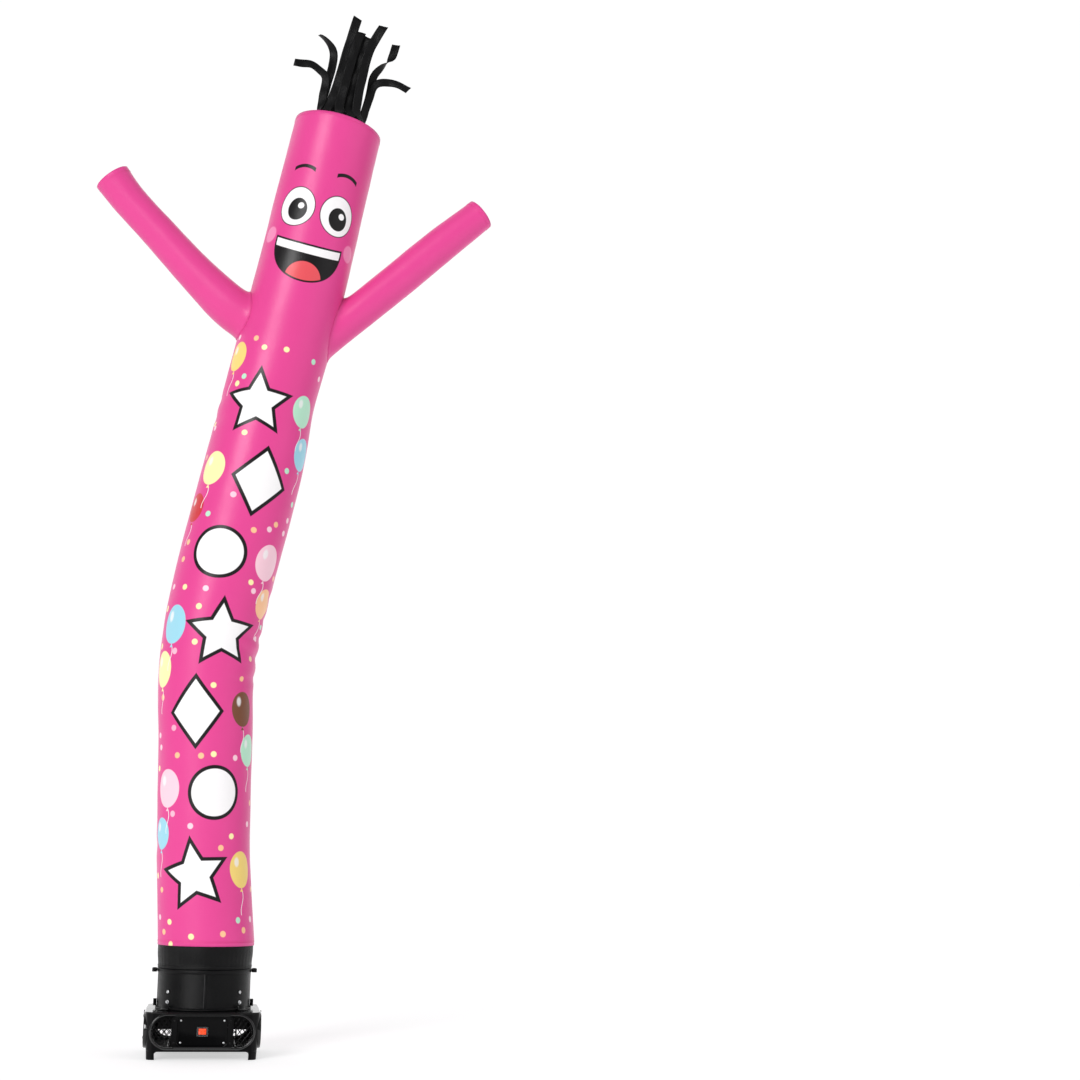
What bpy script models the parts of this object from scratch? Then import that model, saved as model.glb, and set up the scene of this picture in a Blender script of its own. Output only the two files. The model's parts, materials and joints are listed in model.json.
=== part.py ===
"""Inflatable air dancer on its square floor blower.

Metres, +Z up. The floor is z = 0 and the switch faces -Y. Every piece is
parented to an empty on the blower's axis, so the numbers below are measured
from that axis. The axis stands left of the origin, because the figure leans
and waves to the right and the origin is under the middle of the outline.
"""
import math

import bmesh
import bpy
from mathutils import Matrix, Vector

AXIS_X = -0.2075            # blower axis, from the origin
GAP = 0.0003                # between pieces that touch
CLOTH = 0.0012              # ripstop wall, seams included
EDGE_CLEAR = 0.002          # cloth to a hard edge

# Base
BASE_W = 0.370
BASE_CORNER = 0.028
DECK_Z = 0.152
WALL_FOOT_Z = 0.026
WALL = 0.0035
DECK_HOLE_R = 0.136
FOOT_W = 0.027
FOOT_AT = 0.1635

# Stadium windows in the four sides: clear opening and the rim around it
WINDOW_Z = 0.0905
WINDOW_L = 0.163            # half length
WINDOW_H = 0.0500           # half height, also the radius of the ends
RIM_W = 0.0075
RIM_PROUD = 0.005
LATTICE_T = 0.003
LATTICE_PITCH = (0.0350, 0.0300)
LATTICE_BAR = 0.0062

# Duct, from the deck up
DUCT_R = 0.152
DUCT_BORE_R = 0.147
DUCT_FOOT_R = 0.159
DUCT_FOOT_H = 0.0068
HOOP_Z = (0.2715, 0.2842)
HOOP_R = 0.1565
BAND_Z = (0.2848, 0.3219)
BAND_SEAT_R = 0.150
FLANGE_R = 0.1535
LIP_R = 0.1545
DUCT_TOP_Z = 0.344
GRILLE_T = 0.004
TURN_STEPS = 36             # sides of the big turned pieces

# Cloth cuff, gripped by the hook band
CUFF_T = 0.0015
CUFF_Z = (DECK_Z + 0.1345, DECK_Z + 0.2195)

# Rows of the cloth tubes: centre x, centre z, outer radius. Below its first
# row the body goes straight down over the cuff
BODY_HEM_Z = 0.3610
BODY_ROWS = (
    # x       z       radius
    (0.000, 0.3760, 0.1608),
    (-0.013, 0.5500, 0.1570),
    (-0.023, 0.7000, 0.1555),
    (-0.032, 1.0500, 0.1590),
    (-0.039, 1.2500, 0.1615),
    (-0.027, 1.4200, 0.1650),
    (-0.003, 1.5600, 0.1690),
    (0.030, 1.7200, 0.1710),
    (0.094, 2.0200, 0.1705),
    (0.134, 2.2500, 0.1615),
    (0.175, 2.4350, 0.1645),
    (0.219, 2.6400, 0.1630),
    (0.282, 2.9600, 0.1600),
    (0.3425, 3.2720, 0.1575),
)
ARM_ROWS = {
    "arm_left": (
        (0.150, 2.4770, 0.0780),
        (0.064, 2.5310, 0.0775),
        (-0.021, 2.5890, 0.0765),
        (-0.146, 2.7030, 0.0665),
        (-0.259, 2.8190, 0.0620),
        (-0.379, 2.9420, 0.0610),
        (-0.445, 3.0240, 0.0650),
    ),
    "arm_right": (
        (0.272, 2.4385, 0.0620),
        (0.386, 2.5460, 0.0620),
        (0.458, 2.6130, 0.0630),
        (0.540, 2.6885, 0.0635),
        (0.698, 2.8375, 0.0635),
        (0.872, 2.9965, 0.0575),
    ),
}
BODY_STATIONS = 24
ARM_STATIONS = 10
BODY_SIDES = 32
ARM_SIDES = 20
SHOULDER_Z = (2.20, 2.95)   # stretch of the body that the arms are cut to

# Head end: vent in the end panel, and the fringe that stands around it
VENT_R = 0.088
CAP_CROWN = 0.011
FRINGE_R = 0.0890
FRINGE_BAND_H = 0.014
FRINGE_COLUMNS = 24
STREAMER_W = 0.0230
STREAMER_STATIONS = 10
# Streamers: place on the band in degrees (270 faces the front), then the
# route above it as across, back, up and the turn of the flat side in degrees
STREAMERS = (
    (202.5, ((-0.080, -0.028, 0.070, -30), (-0.082, -0.020, 0.135, -8), (-0.087, -0.014, 0.177, 0),
             (-0.112, -0.012, 0.196, 5), (-0.152, -0.014, 0.203, 8), (-0.208, -0.020, 0.193, 14))),
    (157.5, ((-0.079, 0.030, 0.085, 30), (-0.078, 0.024, 0.165, 12), (-0.075, 0.020, 0.236, 0),
             (-0.082, 0.018, 0.291, -10), (-0.106, 0.018, 0.324, -35), (-0.149, 0.014, 0.342, -60))),
    (232.5, ((-0.043, -0.060, 0.075, -20), (-0.038, -0.046, 0.185, -14), (-0.033, -0.034, 0.300, -10),
             (-0.024, -0.026, 0.430, 0))),
    (262.5, ((-0.014, -0.074, 0.075, -4), (-0.010, -0.058, 0.180, 8), (-0.005, -0.044, 0.290, 12),
             (0.004, -0.036, 0.376, 16))),
    (292.5, ((0.016, -0.070, 0.075, 14), (0.018, -0.054, 0.180, -6), (0.022, -0.040, 0.290, -10),
             (0.030, -0.030, 0.374, -16))),
    (322.5, ((0.046, -0.052, 0.075, 30), (0.043, -0.040, 0.190, 16), (0.047, -0.028, 0.320, 10),
             (0.068, -0.020, 0.425, -8))),
    (337.5, ((0.078, -0.028, 0.075, 30), (0.083, -0.020, 0.145, 10), (0.087, -0.014, 0.190, 0),
             (0.106, -0.012, 0.209, -5), (0.150, -0.014, 0.225, -8), (0.214, -0.020, 0.224, -14))),
    (22.5, ((0.078, 0.030, 0.085, -30), (0.081, 0.024, 0.165, 0), (0.079, 0.020, 0.240, 20),
            (0.096, 0.020, 0.294, 60), (0.119, 0.018, 0.318, 120), (0.130, 0.016, 0.344, 172),
            (0.132, 0.014, 0.376, 188))),
    (37.5, ((0.044, 0.056, 0.080, -20), (0.038, 0.042, 0.200, 18), (0.036, 0.030, 0.300, 30),
            (0.040, 0.022, 0.372, 40))),
    (67.5, ((0.020, 0.072, 0.080, -16), (0.014, 0.058, 0.190, -12), (0.012, 0.046, 0.290, -24),
            (0.014, 0.042, 0.352, -30))),
    (97.5, ((-0.010, 0.074, 0.080, 4), (-0.012, 0.060, 0.190, 10), (-0.012, 0.048, 0.290, 26),
            (-0.014, 0.044, 0.366, 34))),
    (127.5, ((-0.042, 0.058, 0.080, 20), (-0.036, 0.044, 0.190, -16), (-0.034, 0.032, 0.290, -26),
             (-0.036, 0.024, 0.344, -34))),
)

# Switch panel in the front window
PANEL_FRONT_Y = 0.1920      # all depths here are distances in front of the axis
PANEL_HALF = (0.1000, 0.0530)
POCKET_HALF = (0.0810, 0.0455)
POCKET_R = 0.014
TRAY_WALL = 0.0020
POCKET_FLOOR_Y = 0.1780
PANEL_BACK_Y = 0.1745
PANEL_SCREW_AT = (0.0700, 0.0355)
BEZEL_HALF = (0.0190, 0.0170)
BEZEL_HOLE = (0.0132, 0.0108)
BEZEL_T = 0.004
ROCKER_PIVOT_Y = 0.1810
ROCKER_W = 0.0244
ROCKER_REST_DEG = 8.0       # tilt of the rocker in OFF, half of its whole swing
COVER_HALF = (0.0158, 0.0130)
COVER_FLANGE = (0.0178, 0.0150)
COVER_WALL = 0.0012
COVER_FRONT_Y = 0.1906

# Small iron on the duct
DIAGONALS = (40, 140, 220, 320)   # degrees from +X
PAN_Z = 0.211
BOLT_Z = 0.1785
BRACKET_W = 0.037

# Mains lead
GLAND_AT = (0.125, 0.158)
GLAND_H = 0.067
CORD_D = 0.006
CORD_X = 0.118              # where it comes down behind the base
COIL_R = 0.036              # middle of the turns
COIL_SECTION = (0.0180, 0.0180)
COIL_OUT_R = COIL_R + COIL_SECTION[0] / 2
COIL_AT = (CORD_X - COIL_OUT_R - CORD_D / 2 - GAP, 0.345)
PLUG_X = COIL_AT[0] - COIL_OUT_R - CORD_D / 2 - GAP
PLUG_BACK_Y = 0.318
PLUG_RELIEF = 0.014
PLUG_SIZE = (0.026, 0.032, 0.022)


# Working tools

def new_collection(name):
    group = bpy.data.collections.new(name)
    bpy.context.scene.collection.children.link(group)
    return group


def clear_scene():
    for old in list(bpy.data.objects):
        bpy.data.objects.remove(old, do_unlink=True)


clear_scene()
PARTS = new_collection("air_dancer")
CUTTERS = new_collection("cutters")
AXIS = bpy.data.objects.new("blower_axis", None)
AXIS.location = (AXIS_X, 0, 0)
PARTS.objects.link(AXIS)
bpy.context.view_layer.update()


def make_material(name, color, roughness, metallic=0.0, alpha=1.0):
    mat = bpy.data.materials.new(name)
    mat.use_nodes = True
    shader = mat.node_tree.nodes["Principled BSDF"]
    shader.inputs["Base Color"].default_value = (*color, 1.0)
    shader.inputs["Roughness"].default_value = roughness
    shader.inputs["Metallic"].default_value = metallic
    shader.inputs["Alpha"].default_value = alpha
    return mat


MATERIALS = {
    "pink": make_material("pink_ripstop", (0.80, 0.08, 0.33), 0.55),
    "black_cloth": make_material("black_cloth", (0.012, 0.012, 0.013), 0.70),
    "housing": make_material("housing_plastic", (0.020, 0.020, 0.022), 0.28),
    "grained": make_material("grained_plastic", (0.022, 0.022, 0.024), 0.45),
    "hooks": make_material("hook_tape", (0.014, 0.014, 0.015), 0.85),
    "steel": make_material("zinc_steel", (0.62, 0.62, 0.63), 0.30, metallic=1.0),
    "red": make_material("red_rocker", (0.62, 0.02, 0.02), 0.30),
    "clear": make_material("clear_cover", (0.90, 0.90, 0.90), 0.10, alpha=0.35),
    "cord": make_material("black_cord", (0.016, 0.016, 0.017), 0.50),
    "brass": make_material("plug_pins", (0.75, 0.60, 0.30), 0.25, metallic=1.0),
}


def place(obj, material, location=(0, 0, 0), rotation=(0, 0, 0), smooth=None):
    """Give a finished piece its material, its place and its parent."""
    obj.data.materials.clear()
    obj.data.materials.append(MATERIALS[material])
    obj.location = location
    obj.rotation_euler = rotation
    obj.parent = AXIS
    if smooth is not None:
        obj.data.shade_smooth()
        obj.data.set_sharp_from_angle(angle=math.radians(smooth))
    return obj


def mesh_object(name, bm, group=PARTS):
    mesh = bpy.data.meshes.new(name)
    bm.to_mesh(mesh)
    bm.free()
    obj = bpy.data.objects.new(name, mesh)
    group.objects.link(obj)
    return obj


def as_cutter(obj):
    for group in list(obj.users_collection):
        group.objects.unlink(obj)
    CUTTERS.objects.link(obj)
    obj.hide_render = True
    obj.display_type = "WIRE"
    return obj


def evaluated_mesh(obj):
    """A copy of an object's mesh with its modifiers and caps made real."""
    bpy.context.view_layer.update()
    graph = bpy.context.evaluated_depsgraph_get()
    mesh = bpy.data.meshes.new_from_object(obj.evaluated_get(graph))
    bm = bmesh.new()
    bm.from_mesh(mesh)
    bmesh.ops.remove_doubles(bm, verts=bm.verts, dist=0.00001)
    bmesh.ops.recalc_face_normals(bm, faces=bm.faces)
    bm.to_mesh(mesh)
    bm.free()
    return mesh


def to_mesh(obj):
    """Turn a curve or a modified object into a plain welded mesh object."""
    name, matrix = obj.name, obj.matrix_world.copy()
    mesh = evaluated_mesh(obj)
    bpy.data.objects.remove(obj, do_unlink=True)
    solid = bpy.data.objects.new(name, mesh)
    PARTS.objects.link(solid)
    solid.matrix_world = matrix
    return solid


def boolean(obj, other, operation="DIFFERENCE"):
    """Cut or join with another object, which then moves with the piece."""
    as_cutter(other)
    other.parent = obj
    mod = obj.modifiers.new(operation.lower(), "BOOLEAN")
    mod.object = other
    mod.operation = operation
    mod.solver = "EXACT"
    return obj


def turned(name, profile, steps=TURN_STEPS, closed=True):
    """Spin a profile of (radius, z) rows, listed down its outer side."""
    bm = bmesh.new()
    verts = [bm.verts.new((r, 0, z)) for r, z in profile]
    last = len(verts) if closed else len(verts) - 1
    for i in range(last):
        bm.edges.new((verts[i], verts[(i + 1) % len(verts)]))
    obj = mesh_object(name, bm)
    screw = obj.modifiers.new("turn", "SCREW")
    screw.steps = steps
    screw.render_steps = steps
    screw.use_merge_vertices = True
    screw.merge_threshold = 0.00002
    return obj


def ring(name, inner, outer, low, high, steps=TURN_STEPS):
    return turned(name, ((outer, high), (outer, low), (inner, low), (inner, high)), steps)


def box(name, low, high, bevel=0.0, segments=2, vertical_only=False):
    """A box between two corners, with its edges rounded."""
    low, high = Vector(low), Vector(high)
    bm = bmesh.new()
    bmesh.ops.create_cube(bm, size=1.0)
    bmesh.ops.scale(bm, vec=high - low, verts=bm.verts)
    bmesh.ops.translate(bm, vec=(high + low) / 2, verts=bm.verts)
    if bevel:
        edges = [e for e in bm.edges if not vertical_only or is_upright(e)]
        bmesh.ops.bevel(bm, geom=edges, offset=bevel, segments=segments, profile=0.5, affect="EDGES")
    return mesh_object(name, bm)


def is_upright(edge):
    a, b = edge.verts
    return abs(a.co.z - b.co.z) > 0.5 * edge.calc_length()


def plate(name, outline, holes, thickness):
    """A flat plate in X and Y, centred on z = 0, from 2D outlines."""
    curve = bpy.data.curves.new(name, "CURVE")
    curve.dimensions = "2D"
    curve.fill_mode = "BOTH"
    curve.extrude = thickness / 2
    for loop in (outline, *holes):
        spline = curve.splines.new("POLY")
        spline.points.add(len(loop) - 1)
        for point, (x, y) in zip(spline.points, loop):
            point.co = (x, y, 0, 1)
        spline.use_cyclic_u = True
    obj = bpy.data.objects.new(name, curve)
    PARTS.objects.link(obj)
    return to_mesh(obj)


def stadium(half_length, half_height, steps=8, center=(0, 0)):
    """A slot outline with round ends, along X."""
    straight = half_length - half_height
    points = []
    for side in (1, -1):
        for i in range(steps + 1):
            angle = math.pi * (i / steps - 0.5) + (0 if side > 0 else math.pi)
            points.append((center[0] + side * straight + half_height * math.cos(angle),
                           center[1] + half_height * math.sin(angle)))
    return points


def rounded_rectangle(half_x, half_y, radius, steps=4):
    points = []
    for quarter, (sx, sy) in enumerate(((1, 1), (-1, 1), (-1, -1), (1, -1))):
        for i in range(steps + 1):
            angle = math.pi / 2 * (quarter + i / steps)
            points.append((sx * (half_x - radius) + radius * math.cos(angle),
                           sy * (half_y - radius) + radius * math.sin(angle)))
    return points


def smooth_row(rows, t):
    """Catmull-Rom value of a table of rows at t from 0 to its last row."""
    last = len(rows) - 1
    i = min(int(t), last - 1)
    f = t - i
    before, after = rows[max(i - 1, 0)], rows[min(i + 2, last)]
    value = []
    for p0, p1, p2, p3 in zip(before, rows[i], rows[i + 1], after):
        value.append(0.5 * (2 * p1 + (p2 - p0) * f + (2 * p0 - 5 * p1 + 4 * p2 - p3) * f * f
                            + (3 * p1 - p0 - 3 * p2 + p3) * f ** 3))
    return value


def smooth_rows(rows, count, space=3):
    """Rows at even steps along the smooth line through a table whose first values are places."""
    fine = [smooth_row(rows, i * (len(rows) - 1) / 400) for i in range(401)]
    runs = [0.0]
    for a, b in zip(fine, fine[1:]):
        runs.append(runs[-1] + math.dist(a[:space], b[:space]))
    out = []
    j = 0
    for k in range(count):
        want = runs[-1] * k / (count - 1)
        while j < len(runs) - 2 and runs[j + 1] < want:
            j += 1
        f = (want - runs[j]) / (runs[j + 1] - runs[j])
        out.append([a + (b - a) * f for a, b in zip(fine[j], fine[j + 1])])
    return out


def path_tube(name, points, radii, sides, caps):
    """A round tube along a path, one radius a point."""
    curve = bpy.data.curves.new(name, "CURVE")
    curve.dimensions = "3D"
    curve.bevel_depth = 1.0
    curve.bevel_resolution = (sides - 4) // 2
    curve.use_fill_caps = caps
    spline = curve.splines.new("POLY")
    spline.points.add(len(points) - 1)
    for slot, point, radius in zip(spline.points, points, radii):
        slot.co = (*point, 1)
        slot.radius = radius
    obj = bpy.data.objects.new(name, curve)
    PARTS.objects.link(obj)
    return obj


# Cloth figure

def cloth_path(rows, stations):
    even = smooth_rows(rows, stations, space=2)
    if rows is BODY_ROWS:
        even.insert(0, (rows[0][0], BODY_HEM_Z, rows[0][2]))
    return [(x, 0, z) for x, z, _ in even], [r for _, _, r in even]


def cloth_tube(name, rows, stations, sides):
    """The open wall of a cloth tube, its thickness turned inwards."""
    points, radii = cloth_path(rows, stations)
    obj = to_mesh(path_tube(name, points, radii, sides, caps=False))
    wall = obj.modifiers.new("wall", "SOLIDIFY")
    wall.thickness = CLOTH
    wall.offset = -1
    wall.use_even_offset = True
    return obj


def cloth_core(name, rows, stations, sides, shrink, keep=None):
    """The closed volume of a cloth tube, grown or shrunk, as a cutter."""
    points, radii = cloth_path(rows, stations)
    pairs = [(p, r - shrink) for p, r in zip(points, radii)
             if keep is None or keep[0] < p[2] < keep[1]]
    return to_mesh(path_tube(name, [p for p, _ in pairs], [r for _, r in pairs], sides, caps=True))


def build_figure():
    body = cloth_tube("body_tube", BODY_ROWS, BODY_STATIONS, BODY_SIDES)
    for name, rows in ARM_ROWS.items():
        bore = cloth_core(name + "_bore", rows, ARM_STATIONS, ARM_SIDES, CLOTH)
        boolean(body, bore)
        arm = cloth_tube(name, rows, ARM_STATIONS, ARM_SIDES)
        trunk = cloth_core(name + "_trunk", BODY_ROWS, BODY_STATIONS, BODY_SIDES, -GAP, SHOULDER_Z)
        boolean(arm, trunk)
        place(arm, "pink", smooth=50)
    place(body, "pink", smooth=50)


def head_end():
    """Middle of the head's end and its lean to the right."""
    points, _ = cloth_path(BODY_ROWS, BODY_STATIONS)
    tip, before = Vector(points[-1]), Vector(points[-2])
    along = (tip - before).normalized()
    return tip, math.atan2(along.x, along.z)


def build_head_panel():
    """End panel of the head, crowned by the air, with the vent in it."""
    tip, lean = head_end()
    rim = BODY_ROWS[-1][2] * math.cos(math.pi / BODY_SIDES) - CLOTH - 2 * GAP
    profile = ((VENT_R, CAP_CROWN), (0.105, CAP_CROWN * 0.9), (0.128, CAP_CROWN * 0.62),
               (0.146, CAP_CROWN * 0.15), (rim - 0.0012, -0.0040), (rim, -0.0150))
    panel = turned("head_panel", profile, BODY_SIDES, closed=False)
    wall = panel.modifiers.new("wall", "SOLIDIFY")
    wall.thickness = CLOTH
    wall.offset = -1
    place(panel, "pink", tip, (0, lean, 0), smooth=50)


def streamer_rows(azimuth, route):
    """Even rows of a streamer: across, back, up and the turn of its flat side."""
    a = math.radians(azimuth)
    root_turn = (azimuth - 270 + 90) % 180 - 90
    foot = CAP_CROWN + GAP + FRINGE_BAND_H
    rows = [(FRINGE_R * math.cos(a), FRINGE_R * math.sin(a), z, root_turn)
            for z in (foot, foot + FRINGE_BAND_H)]
    return smooth_rows((*rows, *route), STREAMER_STATIONS)


def build_fringe():
    """A band around the vent, slit into streamers that stand in the air."""
    tip, lean = head_end()
    bm = bmesh.new()
    low, high = [], []
    for i in range(FRINGE_COLUMNS):
        a = 2 * math.pi * i / FRINGE_COLUMNS
        x, y = FRINGE_R * math.cos(a), FRINGE_R * math.sin(a)
        low.append(bm.verts.new((x, y, CAP_CROWN + GAP)))
        high.append(bm.verts.new((x, y, CAP_CROWN + GAP + FRINGE_BAND_H)))
    for i in range(FRINGE_COLUMNS):
        j = (i + 1) % FRINGE_COLUMNS
        bm.faces.new((low[i], low[j], high[j], high[i]))
    for azimuth, route in STREAMERS:
        i = int(azimuth / 360 * FRINGE_COLUMNS)
        grow_streamer(bm, high[i], high[(i + 1) % FRINGE_COLUMNS], streamer_rows(azimuth, route))
    bm.normal_update()
    fringe = mesh_object("hair_fringe", bm)
    wall = fringe.modifiers.new("wall", "SOLIDIFY")
    wall.thickness = CLOTH
    wall.offset = -1
    place(fringe, "black_cloth", tip, (0, lean, 0))


def grow_streamer(bm, left, right, rows):
    """Add a streamer's faces above one slit of the band."""
    for k in range(1, len(rows)):
        here = Vector(rows[k][:3])
        along = Vector(rows[min(k + 1, len(rows) - 1)][:3]) - Vector(rows[k - 1][:3])
        side = Vector((0, 1, 0)).cross(along).normalized()
        side = Matrix.Rotation(math.radians(rows[k][3]), 3, along.normalized()) @ side
        if side.dot(right.co - left.co) < 0:
            side.negate()
        new_left = bm.verts.new(here - side * STREAMER_W / 2)
        new_right = bm.verts.new(here + side * STREAMER_W / 2)
        bm.faces.new((left, right, new_right, new_left))
        left, right = new_left, new_right


def build_cuff():
    """Black cuff: tight on the hook band, then flared past the flange into the tube."""
    grip = BAND_SEAT_R + 0.0023 + GAP
    wide = LIP_R + EDGE_CLEAR + 0.0002
    inner = ((wide, CUFF_Z[1]), (wide, 0.3190), (grip, 0.3120), (grip, CUFF_Z[0]))
    outer = tuple((r + CUFF_T, z) for r, z in inner)
    cuff = turned("cuff", (*outer, *reversed(inner)))
    place(cuff, "black_cloth", smooth=40)


# Blower base

def base_block(name, half, radius, low, high, top_bevel=0.0):
    bm = bmesh.new()
    bmesh.ops.create_cube(bm, size=1.0)
    bmesh.ops.scale(bm, vec=(2 * half, 2 * half, high - low), verts=bm.verts)
    bmesh.ops.translate(bm, vec=(0, 0, (high + low) / 2), verts=bm.verts)
    upright = [e for e in bm.edges if is_upright(e)]
    bmesh.ops.bevel(bm, geom=upright, offset=radius, segments=6, profile=0.5, affect="EDGES")
    if top_bevel:
        top = [e for e in bm.edges if all(v.co.z > high - 0.0001 for v in e.verts)]
        bmesh.ops.bevel(bm, geom=top, offset=top_bevel, segments=2, profile=0.5, affect="EDGES")
    return mesh_object(name, bm)


def stand_up(obj, azimuth, distance, height):
    """Turn a plate made in X and Y to face outwards at an azimuth (0 faces -Y)."""
    turn = Matrix.Rotation(math.radians(azimuth), 4, "Z")
    move = Matrix.Translation((0, -distance, height))
    upright = Matrix.Rotation(math.radians(90), 4, "X")
    obj.data.transform(turn @ move @ upright)
    return obj


SIDES = {"front": 0, "right": 90, "back": 180, "left": 270}


def build_base():
    half = BASE_W / 2
    base = base_block("base_housing", half, BASE_CORNER, WALL_FOOT_Z, DECK_Z, 0.005)
    hollow = base_block("base_hollow", half - WALL, BASE_CORNER - WALL, -0.01, DECK_Z - WALL)
    boolean(base, hollow)
    for side, azimuth in SIDES.items():
        rim = plate("rim_" + side, stadium(WINDOW_L + RIM_W, WINDOW_H + RIM_W), (),
                    WALL + RIM_PROUD)
        stand_up(rim, azimuth, half + RIM_PROUD - (WALL + RIM_PROUD) / 2, WINDOW_Z)
        boolean(base, rim, "UNION")
        window = plate("window_" + side, stadium(WINDOW_L, WINDOW_H), (), 0.04)
        stand_up(window, azimuth, half, WINDOW_Z)
        boolean(base, window)
    for sx in (-1, 1):
        for sy in (-1, 1):
            x, y = sx * FOOT_AT, sy * FOOT_AT
            foot = box(f"foot_{sx}_{sy}", (x - FOOT_W / 2, y - FOOT_W / 2, 0),
                       (x + FOOT_W / 2, y + FOOT_W / 2, WALL_FOOT_Z + 0.014), 0.004, 2, True)
            boolean(base, foot, "UNION")
    mouth = turned("deck_mouth", ((0, 0.2), (DECK_HOLE_R, 0.2), (DECK_HOLE_R, 0.1), (0, 0.1)),
                   closed=False)
    boolean(base, mouth)
    place(base, "housing", smooth=40)


def diamond_cells(half_length, half_height, skip_half=0.0):
    """Whole diamonds of the lattice that fit in a stadium, as hole outlines."""
    pitch_x, pitch_y = LATTICE_PITCH
    a, b = (pitch_x - LATTICE_BAR) / 2, (pitch_y - LATTICE_BAR) / 2
    straight = half_length - half_height
    cells = []
    for row in range(-4, 5):
        y = row * pitch_y / 2
        for column in range(-6, 7):
            x = (column + 0.5 * (row % 2)) * pitch_x
            over = max(abs(x) + a * 0.55 - straight, 0)
            room = math.hypot(over, abs(y) + b * 0.55)
            inside = room < half_height - 0.002 and abs(y) + b < half_height - 0.002
            if inside and abs(x) - a > skip_half:
                cells.append(((x + a, y), (x, y + b), (x - a, y), (x, y - b)))
    return cells


def build_lattices():
    """One lattice panel in each window; the front one has the hole for the switch panel."""
    length, height = WINDOW_L - GAP, WINDOW_H - GAP
    for side, azimuth in SIDES.items():
        if side == "front":
            holes = diamond_cells(length, height, PANEL_HALF[0] + 0.002)
            around = TRAY_WALL + 0.0007
            holes.append(rounded_rectangle(POCKET_HALF[0] + around, POCKET_HALF[1] + around,
                                           POCKET_R + around))
        else:
            holes = diamond_cells(length, height)
        lattice = plate("lattice_" + side, stadium(length, height), holes, LATTICE_T)
        stand_up(lattice, azimuth, BASE_W / 2 - WALL / 2, WINDOW_Z)
        place(lattice, "housing")
    for side in ("right", "back", "left"):
        build_strap(side, SIDES[side])


def build_strap(side, azimuth):
    """Upright strap across the middle of a side window, bowed outwards."""
    profile = ((-0.0560, 0.0055), (-0.0420, 0.0062), (0, 0.0085), (0.0420, 0.0062), (0.0560, 0.0055))
    outline = [(depth + 0.0035, z) for z, depth in profile]
    outline += [(depth, z) for z, depth in reversed(profile)]
    strap = plate("strap_" + side, outline, (), 0.020)
    lay = Matrix.Rotation(math.radians(azimuth), 4, "Z")
    move = Matrix.Translation((0, -BASE_W / 2, WINDOW_Z))
    swing = Matrix(((0, 0, -1, 0), (-1, 0, 0, 0), (0, 1, 0, 0), (0, 0, 0, 1)))
    strap.data.transform(lay @ move @ swing)
    place(strap, "housing", smooth=30)


# Switch

def build_switch_panel():
    """Raised frame around a deep pocket, in the middle of the front window."""
    x, z = PANEL_HALF
    seat = BASE_W / 2 + RIM_PROUD + GAP
    panel = box("switch_panel", (-x, -PANEL_FRONT_Y, WINDOW_Z - z), (x, -seat, WINDOW_Z + z), 0.0006, 1)
    px, pz = POCKET_HALF
    outline = rounded_rectangle(px + TRAY_WALL, pz + TRAY_WALL, POCKET_R + TRAY_WALL)
    depth = PANEL_FRONT_Y - 0.001 - PANEL_BACK_Y
    tray = plate("tray", outline, (), depth)
    stand_up(tray, 0, PANEL_BACK_Y + depth / 2, WINDOW_Z)
    boolean(panel, tray, "UNION")
    pocket = plate("pocket", rounded_rectangle(px, pz, POCKET_R), (), 0.03)
    stand_up(pocket, 0, POCKET_FLOOR_Y + 0.015, WINDOW_Z)
    boolean(panel, pocket)
    place(panel, "housing", smooth=40)


def build_switch():
    x, z = BEZEL_HALF
    back = POCKET_FLOOR_Y + GAP
    front = back + BEZEL_T
    bezel = box("switch_bezel", (-x, -front, WINDOW_Z - z), (x, -back, WINDOW_Z + z), 0.0008, 1)
    hx, hz = BEZEL_HOLE
    hole = box("bezel_hole", (-hx, -front - 0.01, WINDOW_Z - hz), (hx, -back + 0.01, WINDOW_Z + hz))
    boolean(bezel, hole)
    place(bezel, "housing")
    build_rocker()
    build_cover(front + GAP)


def build_rocker():
    """Red rocker, its origin on its pivot, resting in OFF."""
    outline = ((-0.00925, 0.0010), (-0.0030, -0.0014), (0.0030, -0.0014), (0.00925, 0.0010),
               (0.00925, 0.0060), (0.0045, 0.0050), (0, 0.0045), (-0.0045, 0.0050),
               (-0.00925, 0.0060))
    rocker = plate("switch_rocker", outline, (), ROCKER_W)
    rocker.data.transform(Matrix(((0, 0, 1, 0), (0, -1, 0, 0), (1, 0, 0, 0), (0, 0, 0, 1))))
    place(rocker, "red", (0, -ROCKER_PIVOT_Y, WINDOW_Z), (math.radians(-ROCKER_REST_DEG), 0, 0))


def build_cover(back):
    """Clear stepped cap over the rocker, open to the bezel."""
    x, z = COVER_HALF
    fx, fz = COVER_FLANGE
    step = back + 0.0016
    cover = box("switch_cover", (-x, -COVER_FRONT_Y, WINDOW_Z - z), (x, -back, WINDOW_Z + z), 0.001, 1)
    flange = box("cover_flange", (-fx, -step, WINDOW_Z - fz), (fx, -back, WINDOW_Z + fz))
    boolean(cover, flange, "UNION")
    ix, iz = x - COVER_WALL, z - COVER_WALL
    inside = box("cover_inside", (-ix, -COVER_FRONT_Y + COVER_WALL, WINDOW_Z - iz),
                 (ix, -back + 0.01, WINDOW_Z + iz))
    boolean(cover, inside)
    place(cover, "clear")


# Duct

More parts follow.
